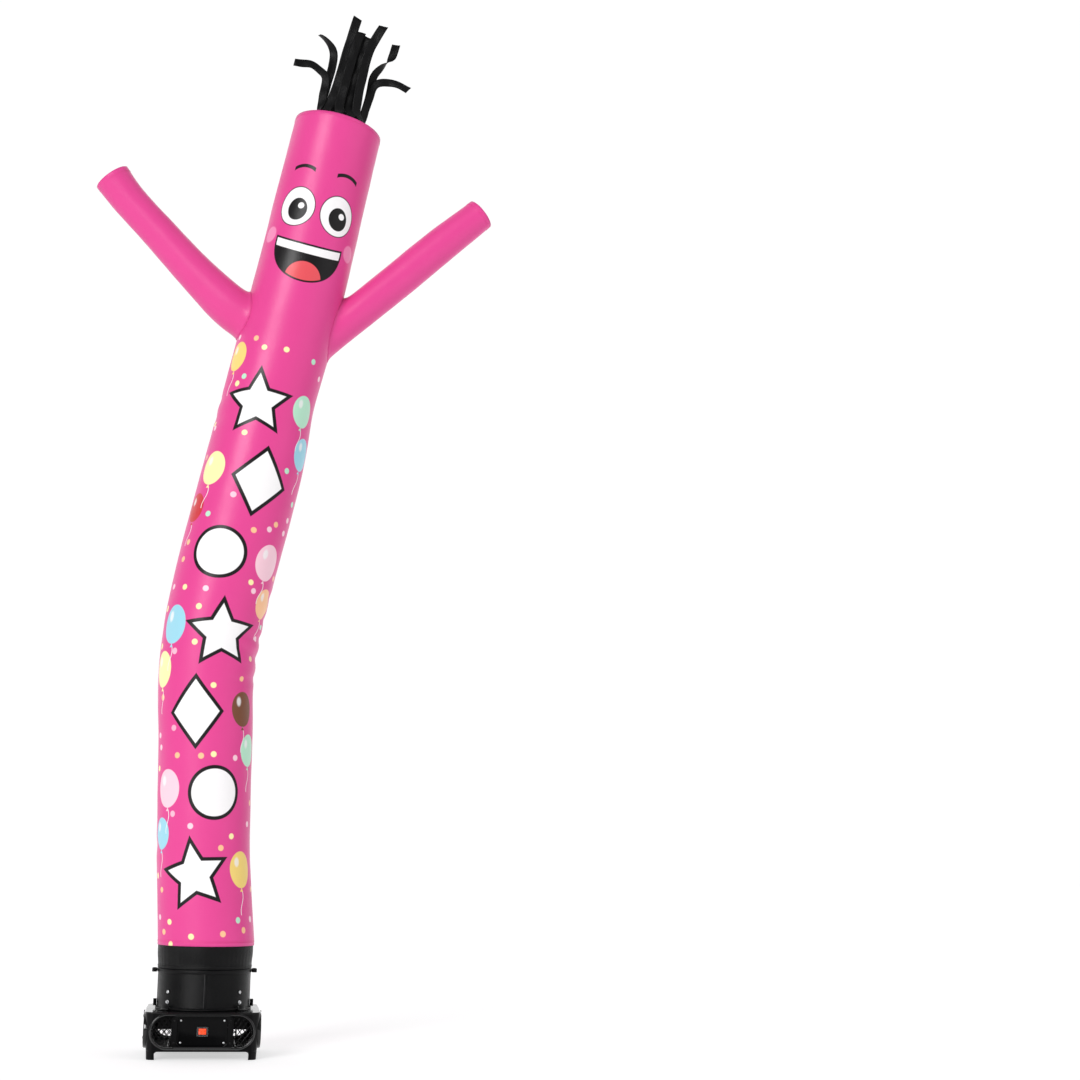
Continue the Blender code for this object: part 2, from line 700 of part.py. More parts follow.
def build_duct():
    foot = DECK_Z + GAP
    profile = ((LIP_R, DUCT_TOP_Z), (LIP_R, DUCT_TOP_Z - 0.0035), (FLANGE_R, DUCT_TOP_Z - 0.0040),
               (FLANGE_R, BAND_Z[1] + GAP), (BAND_SEAT_R, BAND_Z[1] + GAP),
               (BAND_SEAT_R, BAND_Z[0] - GAP), (DUCT_R, BAND_Z[0] - GAP),
               (DUCT_R, foot + DUCT_FOOT_H), (DUCT_FOOT_R - 0.0015, foot + DUCT_FOOT_H),
               (DUCT_FOOT_R, foot + DUCT_FOOT_H / 2), (DUCT_FOOT_R - 0.0015, foot),
               (DUCT_BORE_R, foot), (DUCT_BORE_R, DUCT_TOP_Z))
    duct = turned("duct", profile)
    for i in range(4):
        rib = box(f"duct_rib_{i}", (-0.0018, -DUCT_R - 0.0018, foot + 0.004),
                  (0.0018, -DUCT_R + 0.002, HOOP_Z[0] - GAP))
        rib.data.transform(Matrix.Rotation(math.radians(90 * i), 4, "Z"))
        boolean(duct, rib, "UNION")
    place(duct, "grained", smooth=30)
    r, (low, high) = HOOP_R, HOOP_Z
    hoop = turned("hoop_ring", ((r - 0.0012, high), (r, high - 0.003), (r, low + 0.003),
                                (r - 0.0012, low), (DUCT_R + GAP, low), (DUCT_R + GAP, high)))
    place(hoop, "grained", smooth=30)
    place(ring("hook_band", BAND_SEAT_R + GAP, BAND_SEAT_R + 0.0023, *BAND_Z), "hooks", smooth=30)


def sector_hole(r1, r2, a1, a2):
    """Outline of one cell of the round grille, between two rings and two spokes."""
    steps = 3
    outer = [(r2, a1 + (a2 - a1) * i / steps) for i in range(steps + 1)]
    inner = [(r1, a2 - (a2 - a1) * i / (steps - 1)) for i in range(steps)]
    return [(r * math.cos(a), r * math.sin(a)) for r, a in (*outer, *inner)]


def build_top_grille():
    """Round guard on the duct's mouth: rim, rings, hub and spokes."""
    rim_in, hub_out, hub_in = LIP_R - 0.017, 0.0415, 0.035
    rows, spokes, ring_w, spoke_w = 3, 8, 0.0030, 0.0055
    pitch = (rim_in - hub_out) / rows
    holes = []
    for row in range(rows):
        r1 = hub_out + row * pitch + (ring_w / 2 if row else 0)
        r2 = hub_out + (row + 1) * pitch - (ring_w / 2 if row < rows - 1 else 0)
        trim = spoke_w / (r1 + r2)
        for k in range(spokes):
            a = 2 * math.pi * k / spokes
            holes.append(sector_hole(r1, r2, a + trim, a + 2 * math.pi / spokes - trim))
    circle = [(math.cos(2 * math.pi * i / 40), math.sin(2 * math.pi * i / 40)) for i in range(40)]
    holes.append([(hub_in * x, hub_in * y) for x, y in circle[::2]])
    grille = plate("top_grille", [(LIP_R * x, LIP_R * y) for x, y in circle], holes, GRILLE_T)
    place(grille, "housing", (0, 0, DUCT_TOP_Z + GAP + GRILLE_T / 2))


def build_duct_iron():
    """Tabs on the hoop, clips at the foot, brackets and fasteners on the diagonals."""
    for side, sign in (("left", -1), ("right", 1)):
        low_x, high_x = HOOP_R + GAP, HOOP_R + 0.0165
        tab = box("hoop_tab_" + side, (low_x, -0.025, 0.2715), (high_x, 0.025, 0.2835), 0.0015, 1)
        slot = box("tab_slot_" + side, (low_x + 0.0035, -0.021, 0.2800), (high_x - 0.0035, 0.021, 0.29))
        clip = box("foot_clip_" + side, (0.1541, -0.010, 0.1602), (0.1650, 0.010, 0.1830), 0.001, 1)
        notch = box("clip_notch_" + side, (0.1615, -0.006, 0.1660), (0.1700, 0.006, 0.19))
        for piece in (tab, slot, clip, notch):
            if sign < 0:
                piece.data.transform(Matrix.Rotation(math.pi, 4, "Z"))
        place(boolean(tab, slot), "grained")
        place(boolean(clip, notch), "grained")
    pan = ((0, 0.0042), (0.0030, 0.0040), (0.0052, 0.0026), (0.0058, 0.0008), (0.0058, 0), (0, 0))
    for number, azimuth in enumerate(DIAGONALS, start=1):
        a = math.radians(azimuth)
        build_bracket(f"bracket_{number}", a)
        head = turned(f"duct_screw_{number}", pan, 12, closed=False)
        out = DUCT_R + 0.0005
        place(head, "steel", (out * math.cos(a), out * math.sin(a), PAN_Z), (0, math.pi / 2, a), 40)
        bolt = hex_bolt(f"duct_bolt_{number}")
        place(bolt, "steel", (out * math.cos(a), out * math.sin(a), BOLT_Z), (0, math.pi / 2, a))


def hex_bolt(name):
    """Hexagon head on its washer, pointing along +Z."""
    washer = bmesh.new()
    bmesh.ops.create_cone(washer, cap_ends=True, segments=14, radius1=0.0064, radius2=0.0064,
                          depth=0.0012)
    bmesh.ops.translate(washer, vec=(0, 0, 0.0006), verts=washer.verts)
    bolt = mesh_object(name, washer)
    head = bmesh.new()
    bmesh.ops.create_cone(head, cap_ends=True, segments=6, radius1=0.0046, radius2=0.0044,
                          depth=0.0042)
    bmesh.ops.translate(head, vec=(0, 0, 0.0030), verts=head.verts)
    return boolean(bolt, mesh_object(name + "_head", head), "UNION")


def build_bracket(name, azimuth):
    near, far = DUCT_FOOT_R + 0.0006, 0.1780
    floor = DECK_Z + GAP
    outline = ((near, floor), (far, floor), (far, floor + 0.0035), (near + 0.0045, floor + 0.0045),
               (near + 0.0035, 0.1690), (near, 0.1690))
    bracket = plate(name, outline, (), BRACKET_W)
    bracket.data.transform(Matrix.Rotation(math.pi / 2, 4, "X"))
    place(bracket, "housing", (0, 0, 0), (0, 0, azimuth))


def build_panel_screws():
    pan = ((0, 0.0022), (0.0020, 0.0021), (0.0034, 0.0012), (0.0037, 0), (0, 0))
    number = 0
    for sx in (-1, 1):
        for sz in (-1, 1):
            number += 1
            screw = turned(f"panel_screw_{number}", pan, 10, closed=False)
            spot = (sx * PANEL_SCREW_AT[0], -POCKET_FLOOR_Y - GAP, WINDOW_Z + sz * PANEL_SCREW_AT[1])
            place(screw, "steel", spot, (math.pi / 2, 0, 0), 40)


# Mains lead

# Cord, from the top of the gland over the deck's back edge and down to the floor
CORD_ROUTE = (
    (0.1250, 0.1580, DECK_Z + GLAND_H + 2 * GAP),
    (0.1250, 0.1590, 0.2370),
    (0.1245, 0.1660, 0.2620),
    (0.1230, 0.1860, 0.2790),
    (0.1210, 0.2100, 0.2720),
    (0.1190, 0.2260, 0.2440),
    (CORD_X, 0.2330, 0.1900),
    (CORD_X, 0.2360, 0.1300),
    (CORD_X, 0.2400, 0.0750),
    (CORD_X, 0.2520, 0.0330),
    (CORD_X, 0.2760, 0.0090),
    (CORD_X, 0.3030, 0.0036),
    (CORD_X, 0.3250, 0.0033),
    (CORD_X, 0.3480, 0.0033),
)
# Its tail, from the coil to the back of the plug
TAIL_ROUTE = (
    (PLUG_X, 0.3560, 0.0033),
    (PLUG_X, 0.3460, 0.0036),
    (PLUG_X, 0.3340, 0.0075),
    (PLUG_X, 0.3260, 0.0105),
    (PLUG_X, PLUG_BACK_Y + GAP, 0.0113),
)


def build_lead():
    ribs = []
    for i in range(4):
        z = 0.0330 + 0.0080 * i
        ribs += [(0.0066 - 0.0004 * i, z), (0.0066 - 0.0004 * i, z + 0.0048),
                 (0.0050, z + 0.0052), (0.0050, z + 0.0076)]
    profile = [(0, 0), (0.0100, 0), (0.0100, 0.0200), (0.0082, 0.0240), (0.0076, 0.0300)]
    profile += ribs[:-2] + [(0.0046, GLAND_H), (0, GLAND_H)]
    gland = turned("gland", tuple(reversed(profile)), 10, closed=False)
    place(gland, "housing", (*GLAND_AT, DECK_Z + GAP), smooth=40)
    for name, route, count in (("cord_tube", CORD_ROUTE, 30), ("cord_tail", TAIL_ROUTE, 6)):
        points = smooth_rows(route, count)
        cord = path_tube(name, points, [CORD_D / 2] * count, 8, caps=True)
        cord.data.materials.append(MATERIALS["cord"])
        cord.parent = AXIS
    width, height = COIL_SECTION
    section = rounded_rectangle(width / 2, height / 2, 0.005, 1)
    rows = [(COIL_R + x, GAP + height / 2 + z) for x, z in reversed(section)]
    place(turned("cord_coil", rows, 22), "cord", (*COIL_AT, 0), smooth=40)
    build_plug()


def build_plug():
    """Three pin plug lying on the floor beside the coil, its pins forward."""
    width, length, height = PLUG_SIZE
    mid = GAP + height / 2
    back = PLUG_BACK_Y - PLUG_RELIEF
    front = back - length
    plug = box("plug", (PLUG_X - width / 2, front, GAP), (PLUG_X + width / 2, back, GAP + height),
               0.004, 2)
    relief = turned("plug_relief", ((0, PLUG_RELIEF), (0.0045, PLUG_RELIEF), (0.0068, -0.004),
                                    (0, -0.004)), 12, closed=False)
    relief.location = (PLUG_X, back, mid)
    relief.rotation_euler = (-math.pi / 2, 0, 0)
    boolean(plug, relief, "UNION")
    place(plug, "cord", smooth=40)
    for number, sign in ((1, -1), (2, 1)):
        px, pz = PLUG_X + sign * 0.0068, mid - 0.0045
        pin = box(f"plug_pin_{number}", (px - 0.00075, front - GAP - 0.0155, pz - 0.0032),
                  (px + 0.00075, front - GAP, pz + 0.0032))
        place(pin, "brass")
    bm = bmesh.new()
    bmesh.ops.create_cone(bm, cap_ends=True, segments=10, radius1=0.0024, radius2=0.0018, depth=0.018)
    pin = mesh_object("plug_pin_3", bm)
    place(pin, "brass", (PLUG_X, front - GAP - 0.009, mid + 0.0055), (math.pi / 2, 0, 0))


build_figure()
build_head_panel()
build_fringe()
build_cuff()
build_base()
build_lattices()
build_switch_panel()
build_switch()
build_duct()
build_top_grille()
build_duct_iron()
build_panel_screws()
build_lead()
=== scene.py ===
import json
import math

import bmesh
import bpy
from mathutils import Matrix, Vector, noise

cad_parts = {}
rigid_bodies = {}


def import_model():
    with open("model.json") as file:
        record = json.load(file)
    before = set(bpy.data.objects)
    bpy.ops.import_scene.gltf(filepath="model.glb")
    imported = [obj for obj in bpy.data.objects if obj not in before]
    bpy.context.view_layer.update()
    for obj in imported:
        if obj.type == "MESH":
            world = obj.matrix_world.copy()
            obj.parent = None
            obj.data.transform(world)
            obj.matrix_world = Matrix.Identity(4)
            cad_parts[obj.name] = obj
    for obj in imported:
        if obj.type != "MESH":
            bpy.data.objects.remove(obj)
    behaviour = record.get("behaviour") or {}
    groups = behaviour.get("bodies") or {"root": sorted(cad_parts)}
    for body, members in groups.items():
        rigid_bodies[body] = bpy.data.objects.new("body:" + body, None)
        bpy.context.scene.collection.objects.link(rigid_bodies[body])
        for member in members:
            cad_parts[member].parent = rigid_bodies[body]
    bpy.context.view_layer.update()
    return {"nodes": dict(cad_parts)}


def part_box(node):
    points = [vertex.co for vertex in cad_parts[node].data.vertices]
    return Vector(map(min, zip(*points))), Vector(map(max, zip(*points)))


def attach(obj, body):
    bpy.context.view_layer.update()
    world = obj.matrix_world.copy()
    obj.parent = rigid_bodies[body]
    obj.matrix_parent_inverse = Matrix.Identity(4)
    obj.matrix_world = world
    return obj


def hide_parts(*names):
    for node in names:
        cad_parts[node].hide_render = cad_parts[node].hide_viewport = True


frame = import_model()

# The figure leans to the right over a blower whose axis is left of the origin. All places
# below are metres, and "across" is measured from that axis.
ductLow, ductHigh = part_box("duct")
axisX = (ductLow[0] + ductHigh[0]) / 2
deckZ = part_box("base_housing")[1][2]
switchLow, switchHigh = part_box("switch_cover")
switchZ = (switchLow[2] + switchHigh[2]) / 2
gap = 0.0003


# camera first, so that the unseen part of the lead is judged against its view

cameraSetup = {
    "place": (axisX - 0.042, -6.5, 0.6617),
    "panDeg": 10.134,          # to the right of +Y
    "tiltDeg": 8.591,
    "rollDeg": 1.087,
    "lensMm": 62.21,
    "sensorMm": 36.0,
    "shiftUp": 0.0357,
}


def makeCamera(setup):
    pan, tilt, roll = (math.radians(setup[k]) for k in ("panDeg", "tiltDeg", "rollDeg"))
    ahead = Vector((math.sin(pan) * math.cos(tilt), math.cos(pan) * math.cos(tilt), math.sin(tilt)))
    right = Vector((math.cos(pan), -math.sin(pan), 0))
    up = right.cross(ahead)
    turnedRight = math.cos(roll) * right + math.sin(roll) * up
    turnedUp = -math.sin(roll) * right + math.cos(roll) * up
    data = bpy.data.cameras.new("camera")
    data.lens = setup["lensMm"]
    data.sensor_width = setup["sensorMm"]
    data.shift_y = setup["shiftUp"]
    camera = bpy.data.objects.new("camera", data)
    bpy.context.scene.collection.objects.link(camera)
    axes = Matrix((turnedRight, turnedUp, -ahead)).transposed()
    camera.matrix_world = Matrix.Translation(setup["place"]) @ axes.to_4x4()
    bpy.context.scene.camera = camera


makeCamera(cameraSetup)
print("camera placed")


# materials: a wire with arithmetic, and a paint that holds one material's nodes

def mathsNode(operation):
    return lambda wire, *others: wire.paint.maths(operation, wire, *others)


class Wire:
    __add__ = __radd__ = mathsNode("ADD")
    __mul__ = __rmul__ = mathsNode("MULTIPLY")
    __sub__ = mathsNode("SUBTRACT")
    __truediv__ = mathsNode("DIVIDE")
    __mod__ = mathsNode("FLOORED_MODULO")
    __or__ = mathsNode("MAXIMUM")
    __and__ = mathsNode("MINIMUM")
    __abs__ = mathsNode("ABSOLUTE")

    def __init__(self, paint, socket):
        self.paint, self.socket = paint, socket

    def __rsub__(self, other):
        return self.paint.maths("SUBTRACT", other, self)

    def below(self, edge, soft):        # 1 under the edge, 0 over it, with a soft change
        return self.paint.spread(self, edge - soft, edge + soft, 1.0, 0.0)

    def above(self, edge, soft):
        return self.paint.spread(self, edge - soft, edge + soft, 0.0, 1.0)


class Paint:
    def __init__(self, name):
        self.material = bpy.data.materials.new(name)
        self.material.use_nodes = True
        self.tree = self.material.node_tree
        self.shader = self.tree.nodes["Principled BSDF"]

    def node(self, kind, sockets=None, output=0, stops=(), **settings):
        node = self.tree.nodes.new("ShaderNode" + kind)
        for key, value in settings.items():
            setattr(node, key, value)
        for i, (place, color) in enumerate(stops):      # a ramp of flat steps
            ramp = node.color_ramp
            if i == 0:
                ramp.interpolation = "CONSTANT"
                ramp.elements.remove(ramp.elements[-1])
            element = ramp.elements.new(place) if i else ramp.elements[0]
            element.position, element.color = place, (*color, 1.0)
        for key, value in (sockets or {}).items():
            if isinstance(value, Wire):
                self.tree.links.new(value.socket, node.inputs[key])
            else:
                node.inputs[key].default_value = value
        return Wire(self, node.outputs[output])

    def maths(self, operation, *values):
        return self.node("Math", dict(enumerate(values)), operation=operation)

    def length(self, x, y):
        return self.maths("SQRT", x * x + y * y)

    def ripple(self, value, pitch):
        return self.maths("SINE", value * (math.tau / pitch))

    def spread(self, value, low, high, first, last):
        return self.node("MapRange", {"Value": value, "From Min": low, "From Max": high,
                                      "To Min": first, "To Max": last}, interpolation_type="SMOOTHSTEP")

    def mix(self, factor, under, over):
        sockets = {0: factor}
        for index, color in ((6, under), (7, over)):
            sockets[index] = color if isinstance(color, Wire) else (*color, 1.0)
        return self.node("Mix", sockets, 2, data_type="RGBA")

    def lay(self, color, shape, over, edge=0.0, soft=1.0, part=None):      # a shape printed on a colour
        mask = shape.below(edge, soft * bodyPrint["soft"])
        return self.mix(mask * part if part else mask, color, over)

    def grain(self, coords, scale, detail=2.0, rough=0.5):
        return self.node("TexNoise", {"Vector": coords, "Scale": scale, "Detail": detail, "Roughness": rough})

    def objectPlace(self):
        return self.node("TexCoord", output=3)

    def clothPlace(self):               # the cloth's own map, in metres
        return self.node("UVMap", uv_map="clothMap")

    def split(self, place):
        self.node("SeparateXYZ", {0: place})
        return [Wire(self, out) for out in self.tree.nodes[-1].outputs]

    def bump(self, height, depth, strength=1.0, under=None):
        sockets = {"Height": height, "Distance": depth, "Strength": strength}
        return self.node("Bump", {**sockets, "Normal": under} if under else sockets)

    def finish(self, fixed=None, **fed):
        for name, value in (fixed or {}).items():
            self.shader.inputs[name].default_value = value
        for name, value in fed.items():
            self.tree.links.new(value.socket, self.shader.inputs[name.replace("_", " ")])
        return self.material


def tint(red, green, blue):             # a screen colour, 0 to 255, as the light it gives
    def linear(part):
        part = part / 255
        return part / 12.92 if part <= 0.04045 else ((part + 0.055) / 1.055) ** 2.4
    return linear(red), linear(green), linear(blue)


def grey(level):
    return tint(level, level, level + 1)


pinkCloth = {
    "pink": tint(226, 73, 148),
    "shade": tint(217, 61, 137),
    "grid": tint(205, 44, 122),
    "gridPitch": 0.0055,       # ripstop squares
    "threadPitch": 0.0007,
    "threadDepth": 0.00006,
    "roughness": (0.30, 0.38),
    "gloss": {"Specular IOR Level": 0.28, "Sheen Weight": 0.02, "Sheen Roughness": 0.4},
}


def makeRipstop(name, printOn=None):
    setup, paint = pinkCloth, Paint(name)
    place = paint.clothPlace()
    u, v, _ = paint.split(place)
    cloud = paint.grain(place, 5.0, 3.0)
    lineU, lineV = (abs((way / setup["gridPitch"]) % 1.0 - 0.5) for way in (u, v))
    grid = (lineU & lineV).below(0.05, 0.05)
    color = paint.mix(cloud.above(0.5, 0.35) * 0.35, setup["pink"], setup["shade"])
    color = paint.mix(grid * 0.10, color, setup["grid"])
    thread = paint.ripple(u, setup["threadPitch"]) * paint.ripple(v, setup["threadPitch"])
    weave = paint.bump(thread * 0.3 + grid + paint.grain(place, 130.0) * 0.6, setup["threadDepth"], 0.8)
    normal = paint.bump(paint.grain(place, 9.0, 4.0, 0.6), 0.0035, 0.35, weave)
    rough = paint.spread(cloud, 0.3, 0.7, *setup["roughness"])
    if printOn:
        color = printOn(paint, place, Figures(paint, u, v), color)
    return paint.finish(setup["gloss"], Base_Color=color, Roughness=rough, Normal=normal)


# The print on the body is this script's own plain design: a smiling face, a column of white
# shapes, balloons and dots. Heights are metres along the cloth from its hem.
shades = {
    "gold": tint(246, 214, 122), "sky": tint(158, 214, 232), "rose": tint(250, 206, 220),
    "mint": tint(186, 232, 206), "brown": tint(120, 74, 52), "cream": tint(252, 240, 176),
    "peach": tint(252, 196, 150), "red": tint(206, 52, 60),
}
bodyPrint = {
    "ink": tint(18, 16, 18),
    "white": tint(246, 244, 245),
    "soft": 0.0012,
    "eyes": {"at": (0.0760, 2.580), "size": (0.0640, 0.0720), "rim": 0.0030,
             "pupil": (0.036, 0.042), "pupilShift": (0.004, -0.010), "glint": (0.0115, 0.0115),
             "glintShift": (0.011, 0.014)},
    "brows": {"across": 0.082, "up": 2.655, "radius": 0.080, "half": 0.042, "thick": 0.0065},
    "mouth": {"up": 2.450, "size": (0.130, 0.140), "bow": 1.2, "lip": 0.007, "teeth": 0.036,
              "tongue": (0.006, 2.325, 0.064, 0.060), "tongueTone": tint(226, 84, 92)},
    "cheeks": {"at": (0.168, 2.475), "size": (0.030, 0.030), "tone": tint(250, 168, 206)},
    "column": {"from": 0.100, "pitch": 0.270, "count": 7, "radius": 0.092, "outline": 0.0120,
               "sway": 0.034, "starInner": 0.50, "starTilt": 0.12},
    "dots": {"scale": 13.0, "radius": 0.0100, "top": 2.10, "reach": 0.25, "clear": 0.021,
             "shades": ((0.0, "sky"), (0.22, "cream"), (0.44, "rose"), (0.62, "mint"), (0.80, "peach"))},
    "string": {"length": 0.085, "sway": 0.007, "wave": 62.0, "thick": 0.0014, "knot": 0.011},
}
balloons = (
    # across, up, width, height, colour
    (0.142, 0.245, 0.050, 0.062, "gold"), (-0.176, 0.372, 0.042, 0.052, "sky"),
    (-0.142, 0.520, 0.052, 0.064, "rose"), (0.178, 0.648, 0.044, 0.054, "mint"),
    (0.140, 0.785, 0.048, 0.060, "brown"), (-0.178, 0.915, 0.046, 0.056, "cream"),
    (-0.142, 1.055, 0.050, 0.062, "sky"), (0.180, 1.185, 0.044, 0.054, "peach"),
    (0.142, 1.325, 0.052, 0.064, "rose"), (-0.178, 1.455, 0.042, 0.052, "red"),
    (-0.140, 1.600, 0.050, 0.062, "cream"), (0.180, 1.725, 0.046, 0.056, "sky"),
    (0.142, 1.870, 0.048, 0.060, "mint"), (-0.168, 2.010, 0.044, 0.054, "gold"),
)


class Figures:
    # plane shapes on the cloth's map: each gives the distance outside its outline
    def __init__(self, paint, u, v):
        self.paint, self.u, self.v = paint, u, v

    def oval(self, across, up, width, height):
        x, y = (self.u - across) / width, (self.v - up) / height
        return (self.paint.length(x, y) - 1.0) * min(width, height)

    def arc(self, across, up, radius, thick, half):
        x, y = self.u - across, self.v - up
        return (abs(self.paint.length(x, y) - radius) - thick) | (abs(x) - half) | (y * -1.0)

    def star(self, x, y, outer, inner, tilt):
        sector = math.tau / 5
        angle = abs((self.paint.maths("ARCTAN2", x, y) + (tilt + sector / 2)) % sector - sector / 2)
        notchX, notchY = outer * inner * math.cos(sector / 2), outer * inner * math.sin(sector / 2)
        edge = math.hypot(outer - notchX, notchY)
        normalX, normalY = notchY / edge, (outer - notchX) / edge
        radius = self.paint.length(x, y)
        along, aside = (radius * self.paint.maths(way, angle) for way in ("COSINE", "SINE"))
        return along * normalX + aside * normalY - outer * normalX

    def column(self):
        # white shapes that step left and right up the tube, and where the column has them
        setup, kindEdge = bodyPrint["column"], 0.01
        step = (self.v - setup["from"]) / setup["pitch"]
        number = self.paint.maths("FLOOR", step)
        x = self.u - (number % 2.0 - 0.5) * 2 * setup["sway"]
        y = (step - number - 0.5) * setup["pitch"]
        radius, kind = setup["radius"], number % 3.0
        star = self.star(x, y, radius * 1.12, setup["starInner"], setup["starTilt"])
        disc = self.paint.length(x, y) - radius * 0.86
        diamond = (abs(x) * 0.80 + abs(y) * 0.60) - radius * 0.70
        chosen = star * kind.below(0.5, kindEdge) + diamond * kind.above(1.5, kindEdge)
        chosen = chosen + disc * (kind.above(0.5, kindEdge) & kind.below(1.5, kindEdge))
        return chosen, number.above(-0.5, kindEdge) & number.below(setup["count"] - 0.5, kindEdge)


def printDots(paint, place, color):
    # a dot is left out where its centre is near a balloon or a shape
    setup = bodyPrint["dots"]
    near, cell, center = (
        paint.node("TexVoronoi", {"Vector": place, "Scale": setup["scale"], "Randomness": 0.85}, output,
                   voronoi_dimensions="2D") for output in (0, 1, 2))
    pick, (u, v, _) = paint.split(cell)[0], paint.split(center)
    middle = Figures(paint, u, v)
    space, inside = middle.column()
    space = space - bodyPrint["column"]["outline"] + (1.0 - inside)
    for *oval, _ in balloons:
        space = space & middle.oval(*oval)
    tones = paint.node("ValToRGB", {0: pick}, stops=[(at, shades[name]) for at, name in setup["shades"]])
    dots = near.below(setup["radius"] * setup["scale"], 0.02) & pick.above(0.25, 0.001)
    for band in (v.below(setup["top"], 0.001), abs(u).below(setup["reach"], 0.001),
                 space.above(setup["clear"], 0.001)):
        dots = dots & band
    return paint.mix(dots, color, tones)


def printBalloons(paint, shapes, color):
    setup, white = bodyPrint["string"], bodyPrint["white"]
    for across, up, width, height, shade in balloons:
        fall = shapes.v * -1.0 + (up - height)          # metres below the balloon
        sway = paint.maths("SINE", fall * setup["wave"]) * setup["sway"]
        line = (abs(shapes.u - across - sway) - setup["thick"]) | (fall - setup["length"]) | (fall * -1.0)
        knot = (abs(shapes.u - across) - fall * 0.7) | (fall - setup["knot"])
        glint = shapes.oval(across - width * 0.38, up + height * 0.40, width * 0.20, height * 0.26)
        color = paint.lay(color, line, white, soft=0.6)
        for shape in (knot, shapes.oval(across, up, width, height)):
            color = paint.lay(color, shape, shades[shade])
        color = paint.lay(color, glint, white, soft=3, part=0.75)
    return color


def printFace(paint, shapes, color):
    ink, white = bodyPrint["ink"], bodyPrint["white"]
    mouth, cheeks, eyes, brows = (bodyPrint[part] for part in ("mouth", "cheeks", "eyes", "brows"))
    lip = shapes.v - mouth["up"] - shapes.u * shapes.u * mouth["bow"]
    opening = shapes.oval(0.0, mouth["up"], *mouth["size"]) | lip
    teeth = (opening + mouth["lip"]) | (-mouth["teeth"] - lip)
    tongue = (opening + 0.006) | shapes.oval(*mouth["tongue"])
    for shape, tone in ((opening, ink), (tongue, mouth["tongueTone"]), (teeth, white)):
        color = paint.lay(color, shape, tone)
    for side in (-1, 1):
        cheek = shapes.oval(side * cheeks["at"][0], cheeks["at"][1], *cheeks["size"])
        color = paint.lay(color, cheek, cheeks["tone"], soft=3, part=0.6)
        across, up = side * eyes["at"][0], eyes["at"][1]
        ball = shapes.oval(across, up, *eyes["size"])
        across, up = across + eyes["pupilShift"][0], up + eyes["pupilShift"][1]
        pupil = shapes.oval(across, up, *eyes["pupil"])
        glint = shapes.oval(across + eyes["glintShift"][0], up + eyes["glintShift"][1], *eyes["glint"])
        brow = shapes.arc(side * brows["across"], *(brows[key] for key in ("up", "radius", "thick", "half")))
        color = paint.lay(color, ball, ink, edge=eyes["rim"])
        for shape, tone in ((ball, white), (pupil, ink), (glint, white), (brow, ink)):
            color = paint.lay(color, shape, tone)
    return color


def printBody(paint, place, shapes, color):
    color = printBalloons(paint, shapes, printDots(paint, place, color))
    shape, inside = shapes.column()
    for edge, tone in ((bodyPrint["column"]["outline"], "ink"), (0.0, "white")):
        color = paint.mix(shape.below(edge, bodyPrint["soft"]) & inside, color, bodyPrint[tone])
    return printFace(paint, shapes, color)


def makeFinish(name, scale, dark, light, roughs, texture, fixed=None, detail=3.0, onCloth=False):
    # clouds of two tones; texture gives the normal and anything else that varies
    paint = Paint(name)
    place = paint.clothPlace() if onCloth else paint.objectPlace()
    cloud = paint.grain(place, scale, detail)
    color = paint.mix(cloud.above(0.5, 0.3), dark, light)
    rough = paint.spread(cloud, 0.3, 0.7, *roughs)
    return paint.finish(fixed, Base_Color=color, Roughness=rough, **texture(paint, place, cloud))


def specks(scale, depth=0.00003):
    return lambda paint, place, cloud: {"Normal": paint.bump(paint.grain(place, scale), depth, 0.6)}


def makePlain(name, scale, dark, light, roughs, fixed=None):
    return makeFinish(name, scale, dark, light, roughs, specks(scale * 12), fixed)


def nylonWeave(paint, place, cloud):
    u, v, _ = paint.split(place)
    thread = paint.ripple(u, 0.0008) * paint.ripple(v, 0.0008)
    return {"Normal": paint.bump(thread + cloud * 2.0, 0.00008, 0.8)}


def pebbles(paint, place, cloud):
    pebble = paint.node("TexVoronoi", {"Vector": place, "Scale": 520.0, "Smoothness": 0.6},
                        feature="SMOOTH_F1")
    return {"Normal": paint.bump(pebble + paint.grain(place, 300.0, 3.0) * 0.6, 0.0006, 0.9)}


# handled edges shine: the windows' rims, the deck and, a little, the corner posts
shineSetup = {"straight": 0.113, "radius": 0.054, "wide": 0.0046, "middle": 0.0905, "face": 0.178,
              "deck": 0.40, "post": 0.12, "postAt": 0.160}


def housingShine(paint, place, cloud):
    setup = shineSetup
    normal = paint.bump(paint.grain(place, 260.0), 0.00002, 0.5, paint.bump(cloud, 0.0006, 0.25))
    x, y, z = paint.split(place)
    x, y = abs(x - axisX), abs(y)
    beyond, up = ((x & y) - setup["straight"]) | 0.0, z - setup["middle"]
    ring = abs(paint.length(beyond, up) - setup["radius"])
    rim = ring.below(setup["wide"], 0.0008) & (x | y).above(setup["face"], 0.001)
    coat = rim | (z.above(deckZ - 0.005, 0.001) * setup["deck"])
    return {"Normal": normal, "Coat_Weight": coat | ((x & y).above(setup["postAt"], 0.004) * setup["post"])}


def makeHookTape():
    paint = Paint("hookTape")
    place = paint.objectPlace()
    x, y, z = paint.split(place)
    hooks = paint.maths("SINE", paint.maths("ARCTAN2", y, x - axisX) * 700.0) * paint.ripple(z, 0.0014)
    fuzz = paint.grain(place, 900.0)
    color = paint.mix(fuzz.above(0.5, 0.2), grey(12), grey(26))
    return paint.finish({"Roughness": 0.85, "Specular IOR Level": 0.12, "Sheen Weight": 0.03},
                        Base_Color=color, Normal=paint.bump(hooks + fuzz * 1.5, 0.0005, 0.9))


# front and edge: the alpha of the clear face, and the higher alpha of its edges that paints their reflection
coverClear = {"half": (0.0142, 0.0114), "front": 0.02, "edge": 0.09}


